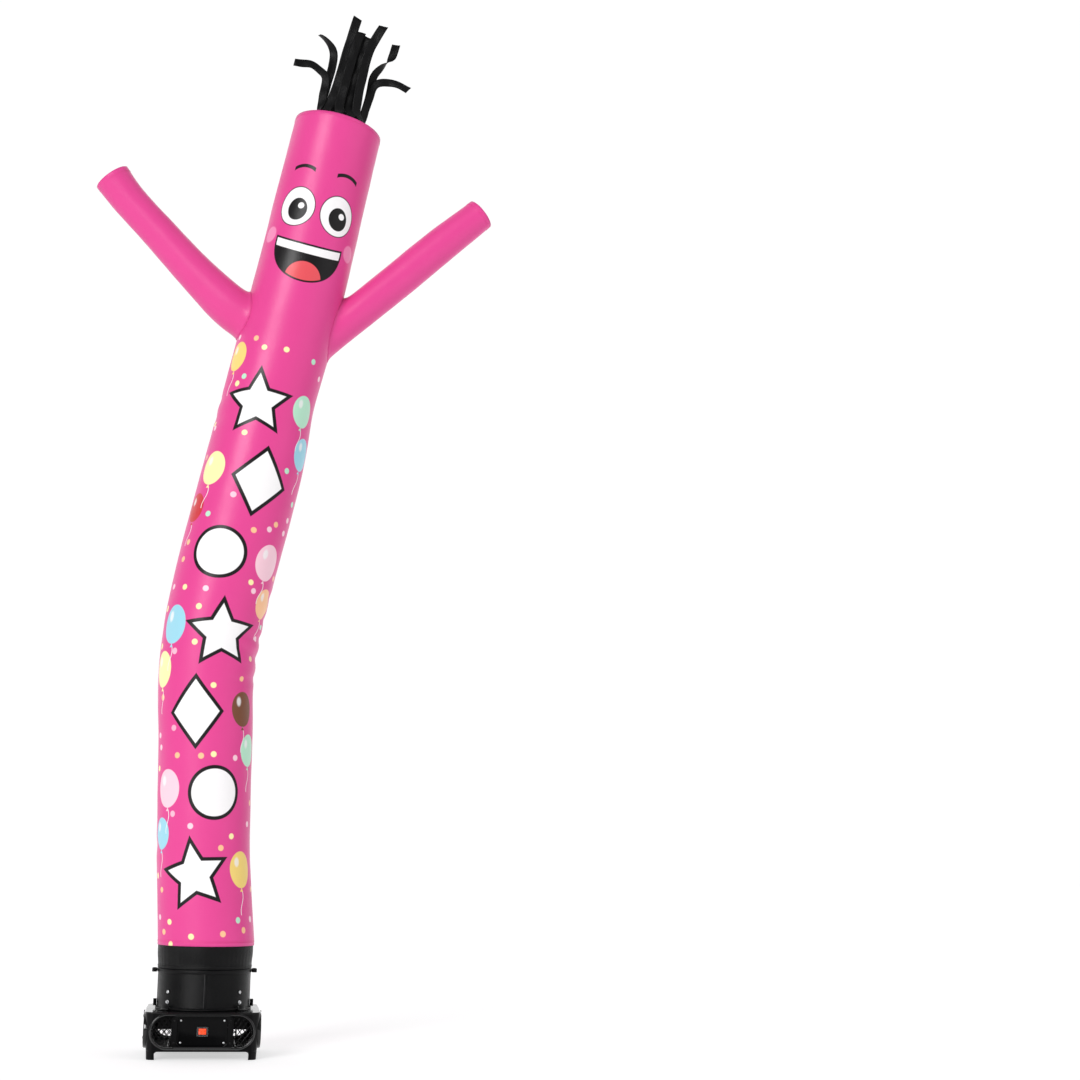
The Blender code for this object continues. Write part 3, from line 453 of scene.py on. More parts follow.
def makeCover():
    # clear plastic with a painted reflection: more opaque along its edges and side walls
    setup, paint = coverClear, Paint("clearCover")
    place = paint.objectPlace()
    x, _, z = paint.split(place)
    edge = (abs(x - axisX) - setup["half"][0]) | (abs(z - switchZ) - setup["half"][1])
    wear = paint.grain(place, 90.0, 3.0)
    alpha = edge.above(0.0, 0.0004) * (setup["edge"] - setup["front"]) + setup["front"] + wear * 0.02
    color = paint.mix(wear, tint(150, 153, 156), tint(176, 179, 182))
    return paint.finish({"Roughness": 0.06, "IOR": 1.45}, Base_Color=color, Alpha=alpha,
                        Normal=paint.bump(wear, 0.00002, 0.5))


dull = {"Specular IOR Level": 0.15}
finishes = {
    # name, scale of its clouds, two tones, roughness, then what is fixed on the shader
    "body": makeRipstop("printedRipstop", printBody),
    "arm": makeRipstop("pinkRipstop"),
    "black": makeFinish("blackNylon", 14.0, grey(8), grey(14), (0.36, 0.46), nylonWeave,
                        {"Specular IOR Level": 0.14, "Sheen Weight": 0.01, "Sheen Roughness": 0.35},
                        onCloth=True),
    "housing": makeFinish("glossPlastic", 11.0, grey(6), grey(12), (0.10, 0.18), housingShine,
                          {"Specular IOR Level": 0.07, "Coat Roughness": 0.12}, 4.0),
    "grained": makeFinish("grainedPlastic", 10.0, grey(7), grey(13), (0.28, 0.38), pebbles,
                          {"Specular IOR Level": 0.14}),
    "hooks": makeHookTape(),
    "zinc": makeFinish("zincScrew", 180.0, tint(236, 237, 238), tint(212, 213, 216), (0.32, 0.48),
                       specks(1500.0, 0.00004), {"Metallic": 1.0}),
    "blackScrew": makePlain("blackScrew", 200.0, grey(9), grey(18), (0.22, 0.34), dull),
    # a lighter grey for the duct seam's raised edge: a painted highlight
    "seamHighlight": makePlain("wornSeam", 200.0, grey(42), grey(56), (0.30, 0.42), dull),
    # the rocker's emission makes it glow a little: painted light, as it is no lamp
    "rocker": makePlain("redRocker", 90.0, tint(240, 56, 8), tint(248, 74, 14), (0.22, 0.32),
                        {"Emission Color": (*tint(255, 84, 10), 1.0), "Emission Strength": 0.24,
                         "Specular IOR Level": 0.30}),
    "cover": makeCover(),
    "cord": makePlain("cordSheath", 120.0, grey(12), grey(20), (0.30, 0.42), dull),
    "pins": makePlain("plugPins", 150.0, tint(214, 180, 110), tint(196, 160, 92), (0.18, 0.30),
                      {"Metallic": 1.0}),
    "thread": makePlain("sewingThread", 400.0, tint(214, 60, 132), tint(232, 88, 156), (0.55, 0.70)),
    "blackThread": makePlain("blackThread", 400.0, grey(20), tint(36, 36, 38), (0.55, 0.70)),
}
print("materials made")


# tools for meshes

def shift(x, y, z):
    return Matrix.Translation((x, y, z))


def spin(angle, axis="Z"):
    return Matrix.Rotation(angle, 4, axis)


def facing(azimuth, distance, height):
    # stands a plate made in X and Y upright, facing outwards (azimuth 0 faces -Y)
    return spin(math.radians(azimuth)) @ shift(0, -distance, height) @ spin(math.radians(90), "X")


def moved(obj, matrix):
    obj.data.transform(matrix)
    return obj


def settled(obj, matrix=None):
    # a piece made about the blower's axis goes to its place in its mesh
    return moved(obj, shift(axisX, 0, 0) @ (matrix or Matrix()))


def fitted(obj, slotName, *nodes, body="root"):
    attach(obj, body)
    if nodes:
        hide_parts(*nodes)
    return obj


def linked(name, data):
    obj = bpy.data.objects.new(name, data)
    bpy.context.scene.collection.objects.link(obj)
    return obj


def faceOut(bm):
    bmesh.ops.recalc_face_normals(bm, faces=bm.faces)


def fromBmesh(name, bm, finish, smooth=None):
    mesh = bpy.data.meshes.new(name)
    bm.to_mesh(mesh)
    bm.free()
    mesh.materials.append(finishes[finish])
    if smooth is not None:
        mesh.shade_smooth()
        mesh.set_sharp_from_angle(angle=math.radians(smooth))
    return linked(name, mesh)


def madeReal(obj):
    # the modifiers' result as the object's own plain mesh
    bpy.context.view_layer.update()
    graph = bpy.context.evaluated_depsgraph_get()
    mesh = bpy.data.meshes.new_from_object(obj.evaluated_get(graph))
    obj.modifiers.clear()
    obj.data = mesh
    return obj


def ease(t):
    t = min(max(t, 0.0), 1.0)
    return t * t * (3 - 2 * t)


def smoothRow(rows, t):
    last = len(rows) - 1
    i = min(int(t), last - 1)
    f = t - i
    before, after = rows[max(i - 1, 0)], rows[min(i + 2, last)]
    return [0.5 * (2 * b + (c - a) * f + (2 * a - 5 * b + 4 * c - d) * f * f
                   + (3 * b - a - 3 * c + d) * f ** 3)
            for a, b, c, d in zip(before, rows[i], rows[i + 1], after)]


def runsAlong(rows, space):
    runs = [0.0]
    for a, b in zip(rows, rows[1:]):
        runs.append(runs[-1] + math.dist(a[:space], b[:space]))
    return runs


def evenRows(rows, count, space):
    # rows at even steps along the smooth line through a table, whose first values are places
    fine = [smoothRow(rows, i * (len(rows) - 1) / 600) for i in range(601)]
    runs = runsAlong(fine, space)
    out, j = [], 0
    for k in range(count):
        want = runs[-1] * k / (count - 1)
        while j < len(runs) - 2 and runs[j + 1] < want:
            j += 1
        f = (want - runs[j]) / (runs[j + 1] - runs[j])
        out.append([a + (b - a) * f for a, b in zip(fine[j], fine[j + 1])])
    return out


def circle(radius, z, count):
    return [(radius * math.cos(math.tau * k / count), radius * math.sin(math.tau * k / count), z)
            for k in range(count)]


def roundedLoop(halfX, halfY, radius, steps=6):
    radius = min(radius, halfX * 0.999, halfY * 0.999)
    loop = []
    for quarter, (sx, sy) in enumerate(((1, 1), (-1, 1), (-1, -1), (1, -1))):
        for i in range(steps + 1):
            a = math.pi / 2 * (quarter + i / steps)
            loop.append((sx * (halfX - radius) + radius * math.cos(a),
                         sy * (halfY - radius) + radius * math.sin(a)))
    return loop


def skin(bm, loops, capStart=False, capEnd=False, closed=False):
    rings = [[bm.verts.new(point) for point in loop] for loop in loops]
    for a, b in zip(rings, rings[1:] + rings[:1] if closed else rings[1:]):
        for k in range(len(a)):
            n = (k + 1) % len(a)
            bm.faces.new((a[k], a[n], b[n], b[k]))
    if capStart:
        bm.faces.new(rings[0][::-1])
    if capEnd:
        bm.faces.new(rings[-1])
    return rings


def skinned(name, loops, finish, smooth, caps=True, closed=False):
    bm = bmesh.new()
    skin(bm, loops, caps, caps, closed)
    faceOut(bm)
    return fromBmesh(name, bm, finish, smooth)


def loftRows(name, rows, finish, smooth=35, steps=6, closed=False):
    # rows: half width, half height, corner radius, height of rounded rectangles
    loops = [[(x, y, z) for x, y in roundedLoop(hx, hy, radius, steps)] for hx, hy, radius, z in rows]
    return skinned(name, loops, finish, smooth, not closed, closed)


def lathe(name, profile, steps, finish, smooth=35, closed=True):
    # profile: radius and height, down the outer side first
    bm = bmesh.new()
    rings = [[bm.verts.new(p) for p in circle(radius, z, steps)] if radius > 1e-6
             else [bm.verts.new((0, 0, z))] * steps for radius, z in profile]
    for upper, lower in zip(rings, rings[1:] + rings[:1] if closed else rings[1:]):
        for k in range(steps):
            n = (k + 1) % steps
            corners = list(dict.fromkeys((upper[k], lower[k], lower[n], upper[n])))
            if len(corners) > 2:
                bm.faces.new(corners)
    faceOut(bm)
    return fromBmesh(name, bm, finish, smooth)


def roundedProfile(corners, steps, radius=0.0008):
    # a closed profile with each corner turned into an arc
    out = []
    for i, corner in enumerate(corners):
        here = Vector(corner[:2])
        before = Vector(corners[i - 1][:2]) - here
        after = Vector(corners[(i + 1) % len(corners)][:2]) - here
        size = min(corner[2] if len(corner) > 2 else radius, before.length * 0.48, after.length * 0.48)
        start, end = here + before.normalized() * size, here + after.normalized() * size
        for t in (k / steps for k in range(steps + 1)):
            out.append(tuple((1 - t) ** 2 * start + 2 * t * (1 - t) * here + t * t * end))
    return out


def extruded(name, outline, width, finish, bevel):
    # an outline in X and Z, drawn out along Y
    bm = bmesh.new()
    skin(bm, [[(x, y, z) for x, z in outline] for y in (-width / 2, width / 2)], True, True)
    faceOut(bm)
    bmesh.ops.bevel(bm, geom=list(bm.edges), offset=bevel, segments=2, profile=0.5, affect="EDGES",
                    clamp_overlap=True)
    return fromBmesh(name, bm, finish, 35)


def joined(name, objects):
    # several meshes, already in place, as one piece
    bm = bmesh.new()
    materials = []
    for obj in objects:
        start, own = len(bm.faces), obj.data.materials[0]
        bm.from_mesh(obj.data)
        bm.faces.ensure_lookup_table()
        if own not in materials:
            materials.append(own)
        for face in bm.faces[start:]:
            face.material_index = materials.index(own)
    mesh = bpy.data.meshes.new(name)
    bm.to_mesh(mesh)
    bm.free()
    for own in materials:
        mesh.materials.append(own)
    for obj in objects:
        bpy.data.objects.remove(obj, do_unlink=True)
    return linked(name, mesh)


def mappedRows(bm, verts, columns, spotOf):
    # faces between rows of corners; spotOf gives a corner's place on the map
    layer = bm.loops.layers.uv[0]
    for i in range(len(verts) - 1):
        for k in range(columns):
            n = (k + 1) % len(verts[i])
            face = bm.faces.new((verts[i][k], verts[i][n], verts[i + 1][n], verts[i + 1][k]))
            for loop, (a, b) in zip(face.loops, ((i, k), (i, k + 1), (i + 1, k + 1), (i + 1, k))):
                loop[layer].uv = spotOf(a, b)


def clothGrid(name, finish, columns, rows, placeOf):
    # a tube of cloth from rows and columns; placeOf gives the point and its map
    bm = bmesh.new()
    bm.loops.layers.uv.new("clothMap")
    grid = [[placeOf(i, k) for k in range(columns + 1)] for i in range(rows)]
    verts = [[bm.verts.new(point) for point, _ in row[:-1]] for row in grid]
    mappedRows(bm, verts, columns, lambda i, k: grid[i][k][1])
    return fromBmesh(name, bm, finish, 60)


def thicken(obj, thickness, offset=-1):
    wall = obj.modifiers.new("wall", "SOLIDIFY")
    wall.thickness, wall.offset, wall.use_even_offset = thickness, offset, offset == -1
    return obj


# Geometry Nodes trees for what repeats

class Tree:
    def __init__(self, name, **inputs):
        self.group = bpy.data.node_groups.new(name, "GeometryNodeTree")
        face = self.group.interface
        face.new_socket("Geometry", in_out="INPUT", socket_type="NodeSocketGeometry")
        face.new_socket("Geometry", in_out="OUTPUT", socket_type="NodeSocketGeometry")
        self.ids = {key: face.new_socket(key, in_out="INPUT", socket_type="NodeSocket" + kind).identifier
                    for key, kind in {**inputs, "Material": "Material"}.items()}
        self.given = self.group.nodes.new("NodeGroupInput").outputs

    def node(self, kind, sockets=None, **settings):
        node = self.group.nodes.new("GeometryNode" + kind if kind[0] != "!" else kind[1:])
        for key, value in settings.items():
            setattr(node, key, value)
        for key, value in (sockets or {}).items():
            if isinstance(value, bpy.types.NodeSocket):
                self.group.links.new(value, node.inputs[key])
            else:
                node.inputs[key].default_value = value
        return node.outputs

    def line(self):
        return self.node("MeshToCurve", {"Mesh": self.given["Geometry"]})[0]

    def copies(self, points, shape, **places):
        return self.node("InstanceOnPoints", {"Points": points, "Instance": shape, **places})[0]

    def sweep(self, curves):
        # bars of a flat section along curves
        box = self.node("CurvePrimitiveQuadrilateral",
                        {"Width": self.given["width"], "Height": self.given["depth"]})
        level = self.node("SetCurveNormal", {"Curve": curves}, mode="Z_UP")
        return self.node("CurveToMesh", {"Curve": level[0], "Profile Curve": box[0], "Fill Caps": True})[0]

    def close(self, geometry):
        real = self.node("RealizeInstances", {"Geometry": geometry})
        done = self.node("SetMaterial", {"Geometry": real[0], "Material": self.given["Material"]})
        self.group.links.new(done[0], self.group.nodes.new("NodeGroupOutput").inputs[0])
        return self

    def grow(self, name, mesh, finish, **values):
        # runs the tree on a mesh and gives the plain result
        obj = linked(name, mesh)
        modifier = obj.modifiers.new("grow", "NODES")
        modifier.node_group = self.group
        for key, value in {**values, "Material": finishes[finish]}.items():
            modifier[self.ids[key]] = value
        return madeReal(obj)


def makeBarTree():
    tree = Tree("flatBars", width="Float", depth="Float")
    return tree.close(tree.sweep(tree.line()))


def makeCopyTree():
    tree = Tree("copiesOnPoints", template="Object")
    shape = tree.node("ObjectInfo", {"Object": tree.given["template"]}, transform_space="ORIGINAL")
    turn = tree.node("InputNamedAttribute", {"Name": "turn"}, data_type="FLOAT_VECTOR")
    return tree.close(tree.copies(tree.given["Geometry"], shape["Geometry"], Rotation=turn[0]))


def makeStitchTree():
    tree = Tree("stitches", pitch="Float", length="Float", radius="Float")
    given = tree.given
    spots = tree.node("CurveToPoints", {"Curve": tree.line(), "Length": given["pitch"]}, mode="LENGTH")
    thread = tree.node("MeshCylinder", {"Vertices": 5, "Radius": given["radius"], "Depth": given["length"]},
                       fill_type="TRIANGLE_FAN")
    along = tree.node("!FunctionNodeAlignRotationToVector", {"Vector": spots["Tangent"]}, axis="Z")
    return tree.close(tree.copies(spots["Points"], thread[0], Rotation=along[0]))


def makeGuardTree():
    tree = Tree("roundGuard", rings="Int", spokes="Int", inner="Float", outer="Float", width="Float",
                depth="Float")
    rings, spokes, inner, outer = (tree.given[key] for key in ("rings", "spokes", "inner", "outer"))

    def maths(operation, a, b):
        return tree.node("!ShaderNodeMath", {0: a, 1: b}, operation=operation)[0]

    def triple(axis, value):
        return tree.node("!ShaderNodeCombineXYZ", {axis: value})[0]

    def spots(count):
        return tree.node("MeshLine", {"Count": count, "Offset": (0, 0, 0)})[0]

    index = tree.node("InputIndex")[0]
    step = maths("DIVIDE", maths("SUBTRACT", outer, inner), maths("SUBTRACT", rings, 1.0))
    radius = maths("ADD", inner, maths("MULTIPLY", index, step))
    hoop = tree.node("CurvePrimitiveCircle", {"Resolution": 72, "Radius": 1.0})[0]
    turn = maths("MULTIPLY", index, maths("DIVIDE", math.tau, spokes))
    line = tree.node("CurvePrimitiveLine", {"Start": triple("X", inner), "End": triple("X", outer)})[0]
    both = tree.node("JoinGeometry", {"Geometry": tree.copies(spots(rings), hoop, Scale=radius)})[0]
    tree.group.links.new(tree.copies(spots(spokes), line, Rotation=triple("Z", turn)), both.node.inputs[0])
    return tree.close(tree.sweep(tree.node("RealizeInstances", {"Geometry": both})[0]))


barTree, copyTree, stitchTree, guardTree = makeBarTree(), makeCopyTree(), makeStitchTree(), makeGuardTree()


def linesMesh(name, lines, closed=False):
    mesh = bpy.data.meshes.new(name)
    points, edges = [], []
    for line in lines:
        first = len(points)
        points += [tuple(p) for p in line]
        edges += [(first + i, first + i + 1) for i in range(len(line) - 1)]
        if closed:
            edges.append((len(points) - 1, first))
    mesh.from_pydata(points, edges, [])
    return mesh


def placeCopies(name, template, spots, finish):
    # spots: matrices; the template is made along +Z and is removed when it's done
    mesh = bpy.data.meshes.new(name)
    mesh.from_pydata([m.to_translation() for m in spots], [], [])
    turn = mesh.attributes.new("turn", "FLOAT_VECTOR", "POINT")
    turn.data.foreach_set("vector", [part for m in spots for part in m.to_euler()])
    obj = copyTree.grow(name, mesh, finish, template=template)
    bpy.data.objects.remove(template, do_unlink=True)
    return obj


def barsAlong(name, lines, width, depth, closed=False):
    return barTree.grow(name, linesMesh(name, lines, closed), "housing", width=width, depth=depth)


seamThread = {"pitch": 0.0044, "length": 0.0032, "radius": 0.00042}


def sewn(name, slotName, lines, finish="thread", closed=True, place=None):
    # rows of stitches, one piece, along lines
    stitches = stitchTree.grow(name, linesMesh(name, lines, closed), finish, **seamThread)
    return fitted(settled(stitches, place), slotName)


# mains lead: gland, cord with its stored coil, tie, plug and pins

leadSetup = {
    "exit": (0.1250, 0.1580, 0.2196),
    "diameter": 0.006,
    "length": 1.8,
    "coilAt": (0.0697, 0.345),
    "coilRadii": (0.045, 0.042, 0.036, 0.030, 0.030, 0.036, 0.042, 0.0475),
    "turns": 5.5,
    "floorLayer": 0.0033,
    "upperLayer": 0.0093,
    "sides": 12,
}
cordRoute = (
    (0.1250, 0.1580, 0.2196), (0.1250, 0.1590, 0.2370), (0.1245, 0.1660, 0.2620),
    (0.1230, 0.1860, 0.2790), (0.1210, 0.2100, 0.2720), (0.1190, 0.2260, 0.2440),
    (0.1180, 0.2330, 0.1900), (0.1180, 0.2360, 0.1300), (0.1180, 0.2400, 0.0750),
    (0.1180, 0.2520, 0.0330), (0.1180, 0.2760, 0.0090), (0.1180, 0.3030, 0.0036),
    (0.1180, 0.3250, 0.0033),
)
tailRoute = (
    (0.0214, 0.3460, 0.0036), (0.0214, 0.3340, 0.0075), (0.0214, 0.3260, 0.0105),
    (0.0214, 0.3186, 0.0113),
)


def coilPoints(setup, stretch):
    # turns beside and on each other: in on the floor, out again on the second layer
    cx, cy = setup["coilAt"]
    steps = 30
    points = []
    for i in range(1, int(setup["turns"] * steps)):
        t = i / steps                                   # turns so far
        radius = smoothRow([(r,) for r in setup["coilRadii"]], 1 + 5.9 * t / setup["turns"])[0] * stretch
        lift = ease((t - 2.7) * 1.6) * (1 - ease((t - 5.0) * 2.2))
        z = setup["floorLayer"] + (setup["upperLayer"] - setup["floorLayer"]) * lift
        points.append((cx + radius * math.cos(math.tau * t), cy + radius * math.sin(math.tau * t), z))
    return points


def leadLine(setup):
    low, high = 0.90, 1.10
    for _ in range(18):
        stretch = (low + high) / 2
        knots = (*cordRoute, *coilPoints(setup, stretch), *tailRoute)
        line = evenRows([list(p) for p in knots], 600, 3)
        short = runsAlong(line, 3)[-1] < setup["length"]
        low, high = (stretch, high) if short else (low, stretch)
    return line


def sweptTube(name, line, radius, sides, finish):
    # a round tube with parallel frames and a map in metres
    bm = bmesh.new()
    bm.loops.layers.uv.new("cordMap")
    points = [Vector(p) for p in line]
    side = Vector((1, 0, 0))
    rings, runs = [], [0.0]
    for i, here in enumerate(points):
        along = (points[min(i + 1, len(points) - 1)] - points[max(i - 1, 0)]).normalized()
        side = (side - along * side.dot(along)).normalized()
        up = along.cross(side)
        runs.append(runs[-1] + (here - points[max(i - 1, 0)]).length)
        rings.append([bm.verts.new(here + radius * (x * side + y * up)) for x, y, _ in circle(1, 0, sides)])
    mappedRows(bm, rings, sides, lambda i, k: (k * math.tau * radius / sides, runs[i + 1]))
    bm.faces.new(rings[0][::-1])
    bm.faces.new(rings[-1])
    return fromBmesh(name, bm, finish, 50)


def buildTie(cx, cy):
    section = roundedLoop(0.0098, 0.0096, 0.006, 5)
    across, thick, middleX, middleZ = 0.0022, 0.0009, cx + 0.036, 0.0096
    loops = []
    for x, z in section:
        out = Vector((x, 0, z)).normalized() * thick
        x, z = middleX + x, middleZ + z
        outX, outZ = x + out.x, max(z + out.z, 0.0002)
        loops.append([(x, cy - across, z), (x, cy + across, z),
                      (outX, cy + across * 0.9, outZ), (outX, cy - across * 0.9, outZ)])
    return settled(skinned("cordTie", loops, "black", 40, False, True))


def buildLead():
    setup = leadSetup
    line = leadLine(setup)
    cord = settled(sweptTube("powerCord", line, setup["diameter"] / 2, setup["sides"], "cord"))
    tie = buildTie(*setup["coilAt"])
    plug, *pins = (frame["nodes"][name] for name in ("plug", "plug_pin_1", "plug_pin_2", "plug_pin_3"))
    for node in (plug, *pins):
        node.data.materials.clear()
        node.data.materials.append(finishes["cord" if node is plug else "pins"])
    fitted(cord, "cord", "cord_tube", "cord_coil", "cord_tail")
    fitted(tie, "black_cloth")
    x, y, z = setup["exit"]
    [(px + axisX, py, pz) for px, py, pz in line]
    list(pins)


glandSetup = {"at": (0.125, 0.158), "height": 0.067, "ribs": 8, "from": 0.0325, "pitch": 0.0040}


def buildGland():
    setup = glandSetup
    profile = [(0.0100, 0.0), (0.0100, 0.0030), (0.0094, 0.0036), (0.0094, 0.0172), (0.0100, 0.0180),
               (0.0098, 0.0200), (0.0084, 0.0240), (0.0078, 0.0300)]
    for i in range(setup["ribs"]):
        z, outer = setup["from"] + setup["pitch"] * i, 0.0067 - 0.00018 * i
        profile += [(0.0052, z - 0.0004), (outer - 0.0004, z + 0.0002), (outer, z + 0.0011),
                    (outer - 0.0004, z + 0.0020), (0.0051, z + 0.0027)]
    profile += [(0.0048, 0.0655), (0.0044, setup["height"]), (0.0031, setup["height"]), (0.0031, 0.050),
                (0.0, 0.050), (0.0, 0.0)]
    gland = lathe("cordGland", profile[::-1], 40, "blackScrew", closed=False)
    fitted(settled(gland, shift(*setup["at"], deckZ + gap)), "housing", "gland")


buildLead()
buildGland()
print("mains lead made")


# cloth tube and arms

bodySetup = {
    "hem": 0.3610,
    "wall": 0.0012,
    "around": 128,
    "along": 250,
    "girthRadius": 0.160,       # for the map's width
    "shrink": 0.0004,           # the faceted solid's flats lie inside its radius
    "rows": (                   # centre across, centre up, radius
        (0.000, 0.3760, 0.1608), (-0.013, 0.5500, 0.1570), (-0.023, 0.7000, 0.1555),
        (-0.032, 1.0500, 0.1590), (-0.039, 1.2500, 0.1615), (-0.027, 1.4200, 0.1650),
        (-0.003, 1.5600, 0.1690), (0.030, 1.7200, 0.1710), (0.094, 2.0200, 0.1705),
        (0.134, 2.2500, 0.1615), (0.175, 2.4350, 0.1645), (0.219, 2.6400, 0.1630),
        (0.282, 2.9600, 0.1600), (0.3425, 3.2720, 0.1575),
    ),
    "hemPleats": (46, 0.0011, 0.060),       # number, depth, fade
    "headPleats": (40, 0.0009, 0.045),
    "shoulderPleats": (22, 0.0012, 0.035),
    "waves": 0.0014,
    "creases": (                # along, angle, half width, depth, softness, slant
        (0.905, 1.45, 0.95, 0.0030, 0.016, 0.030), (0.985, 1.60, 1.15, 0.0042, 0.018, -0.022),
        (1.060, 1.50, 0.90, 0.0034, 0.015, 0.018), (1.135, 1.70, 0.80, 0.0026, 0.015, -0.030),
        (1.215, 1.40, 0.70, 0.0018, 0.016, 0.020), (0.330, -1.70, 0.80, 0.0018, 0.018, 0.015),
        (1.800, -1.55, 0.80, 0.0022, 0.018, -0.030), (1.870, -1.35, 0.60, 0.0016, 0.016, 0.020),
        (2.180, 2.30, 0.60, 0.0016, 0.018, 0.060), (2.020, -2.40, 0.55, 0.0016, 0.018, -0.050),
    ),
}
armSetup = {
    "wall": 0.0012,
    "around": 64,
    "along": 90,
    "pleats": (18, 0.0013, 0.045),
    "handPleats": (13, 0.0010, 0.05),
    "hem": (0.018, 0.0005),
    "waves": 0.0011,
    "flare": (0.0085, 0.014),       # outward where an arm is sewn to the body, and how fast it fades
    "left": ((0.150, 2.4770, 0.0780), (0.064, 2.5310, 0.0775), (-0.021, 2.5890, 0.0765),
             (-0.146, 2.7030, 0.0665), (-0.259, 2.8190, 0.0620), (-0.379, 2.9420, 0.0610),
             (-0.445, 3.0240, 0.0650)),
    "right": ((0.272, 2.4385, 0.0620), (0.386, 2.5460, 0.0620), (0.458, 2.6130, 0.0630),
              (0.540, 2.6885, 0.0635), (0.698, 2.8375, 0.0635), (0.872, 2.9965, 0.0575)),
}


class TubeLine:
    # the centre line of a cloth tube, with its radius, by length along it
    def __init__(self, rows, hem=None):
        self.rows = evenRows(rows, 400, 2)
        self.upright = 0.0
        if hem is not None:
            self.upright = 0.22
            self.rows.insert(0, [rows[0][0], hem, rows[0][2]])
        self.runs = runsAlong(self.rows, 2)
        self.length = self.runs[-1]

    def at(self, run):
        run = min(max(run, 0.0), self.length)
        low, high = 0, len(self.runs) - 1
        while high - low > 1:
            middle = (low + high) // 2
            low, high = (middle, high) if self.runs[middle] <= run else (low, middle)
        f = (run - self.runs[low]) / (self.runs[high] - self.runs[low])
        x, z, radius = (a + (b - a) * f for a, b in zip(self.rows[low], self.rows[high]))
        a, b = self.rows[max(low - 3, 0)], self.rows[min(high + 3, len(self.rows) - 1)]
        along = Vector((b[0] - a[0], 0, b[1] - a[1])).normalized()
        if self.upright:                    # the hem lies level on the cuff
            along = Vector((0, 0, 1)).lerp(along, ease(run / self.upright)).normalized()
        return Vector((x, 0, z)), along, radius

    def point(self, run, angle, lift=0.0):
        center, along, radius = self.at(run)
        side = Vector((along.z, 0, -along.x))
        return center + (radius + lift) * (math.sin(angle) * side - math.cos(angle) * Vector((0, 1, 0)))

    def ring(self, run, lift, count):
        return [self.point(run, math.tau * k / count, lift) for k in range(count)]

    def distance(self, point):
        # how far a point is from the line, less the radius there
        def away(i):
            return math.dist(self.rows[i][:2], (point[0], point[2]))
        best = min(range(0, len(self.rows), 4), key=away)
        best = min(range(max(best - 4, 0), min(best + 5, len(self.rows))), key=away)
        x, z, radius = self.rows[best]
        along = self.at(self.runs[best])[1]
        offset = Vector(point) - Vector((x, 0, z))
        return (offset - along * offset.dot(along)).length - radius


bodyLine = TubeLine(bodySetup["rows"], bodySetup["hem"])


def pleat(angle, count, seed):
    # uneven gathers round a seam, from 0 to 1
    shift = 0.9 * noise.noise((math.cos(angle) * 1.7, math.sin(angle) * 1.7, seed))
    wave = 0.5 + 0.5 * math.cos(count * angle + 9.0 * shift)
    return wave * (0.55 + 0.45 * noise.noise((math.cos(angle) * 5, math.sin(angle) * 5, seed + 4.0)))


def gathers(setup, angle, seed, run):
    # number, depth and fade of the gathers at a seam, and the length from it
    count, depth, fade = setup
    return depth * pleat(angle, count, seed) * math.exp(-run / fade)


def waves(height, point, scale, fine):
    return height * noise.noise(point * scale) + 0.5 * height * noise.noise(point * fine)


def armRoots(rows):
    # for each line along an arm, the length at which it leaves the body
    line = TubeLine(rows)
    roots = []
    for k in range(armSetup["around"]):
        angle = math.tau * k / armSetup["around"]
        low, high = 0.0, line.length * 0.62
        for _ in range(16):
            middle = (low + high) / 2
            inside = bodyLine.distance(line.point(middle, angle, armSetup["flare"][0])) < -0.0004
            low, high = (middle, high) if inside else (low, middle)
        roots.append((low + high) / 2)
    return line, roots


armLines = {side: armRoots(armSetup[side]) for side in ("left", "right")}
armBorders = [[line.point(run, math.tau * k / len(roots)) for k, run in enumerate(roots)]
              for line, roots in armLines.values()]
shoulders = [(sum(points, Vector()) / len(points), points) for points in armBorders]


def bodyLift(run, angle, point):
    setup = bodySetup
    lift = waves(setup["waves"], point, 4.2, 11.0)
    lift -= gathers(setup["hemPleats"], angle, 1.0, run) * ease(run / 0.006 + 0.35)
    lift -= gathers(setup["headPleats"], angle, 2.0, bodyLine.length - run)
    for center, middle, half, depth, soft, slant in setup["creases"]:
        turn = (angle - middle + math.pi) % math.tau - math.pi
        window = math.exp(-(turn / half) ** 4)
        across = (run - center - slant * turn - 0.006 * noise.noise((turn * 3, center, 0))) / soft
        lift += window * depth * (0.45 * math.exp(-((across - 1.9) / 1.1) ** 2)
                                  + 0.35 * math.exp(-((across + 1.9) / 1.1) ** 2)
                                  - math.exp(-across * across))
    for center, border in shoulders:
        offset = point - center
        if offset.length < 0.22:
            near = min((point - p).length for p in border[::2])
            spoke = math.atan2(point.y, offset.z + 0.4 * offset.x)
            lift -= gathers(setup["shoulderPleats"], spoke, 3.0 + center.x, near) * ease(near / 0.010)
    backSeam = abs(abs(angle) - math.pi) * setup["girthRadius"]
    return lift + 0.0007 * (1 - ease((backSeam - 0.009) / 0.002))


def closerAtEnds(t, share):
    # closer rows at both ends, where the gathers are
    return t - share * math.sin(math.tau * t) / math.tau * 2.0


def armBore(line):
    runs = [line.length * 0.75 * i / 23 for i in range(24)]
    return skinned("armBore", [line.ring(run, -armSetup["wall"], 48) for run in runs], "arm", None)


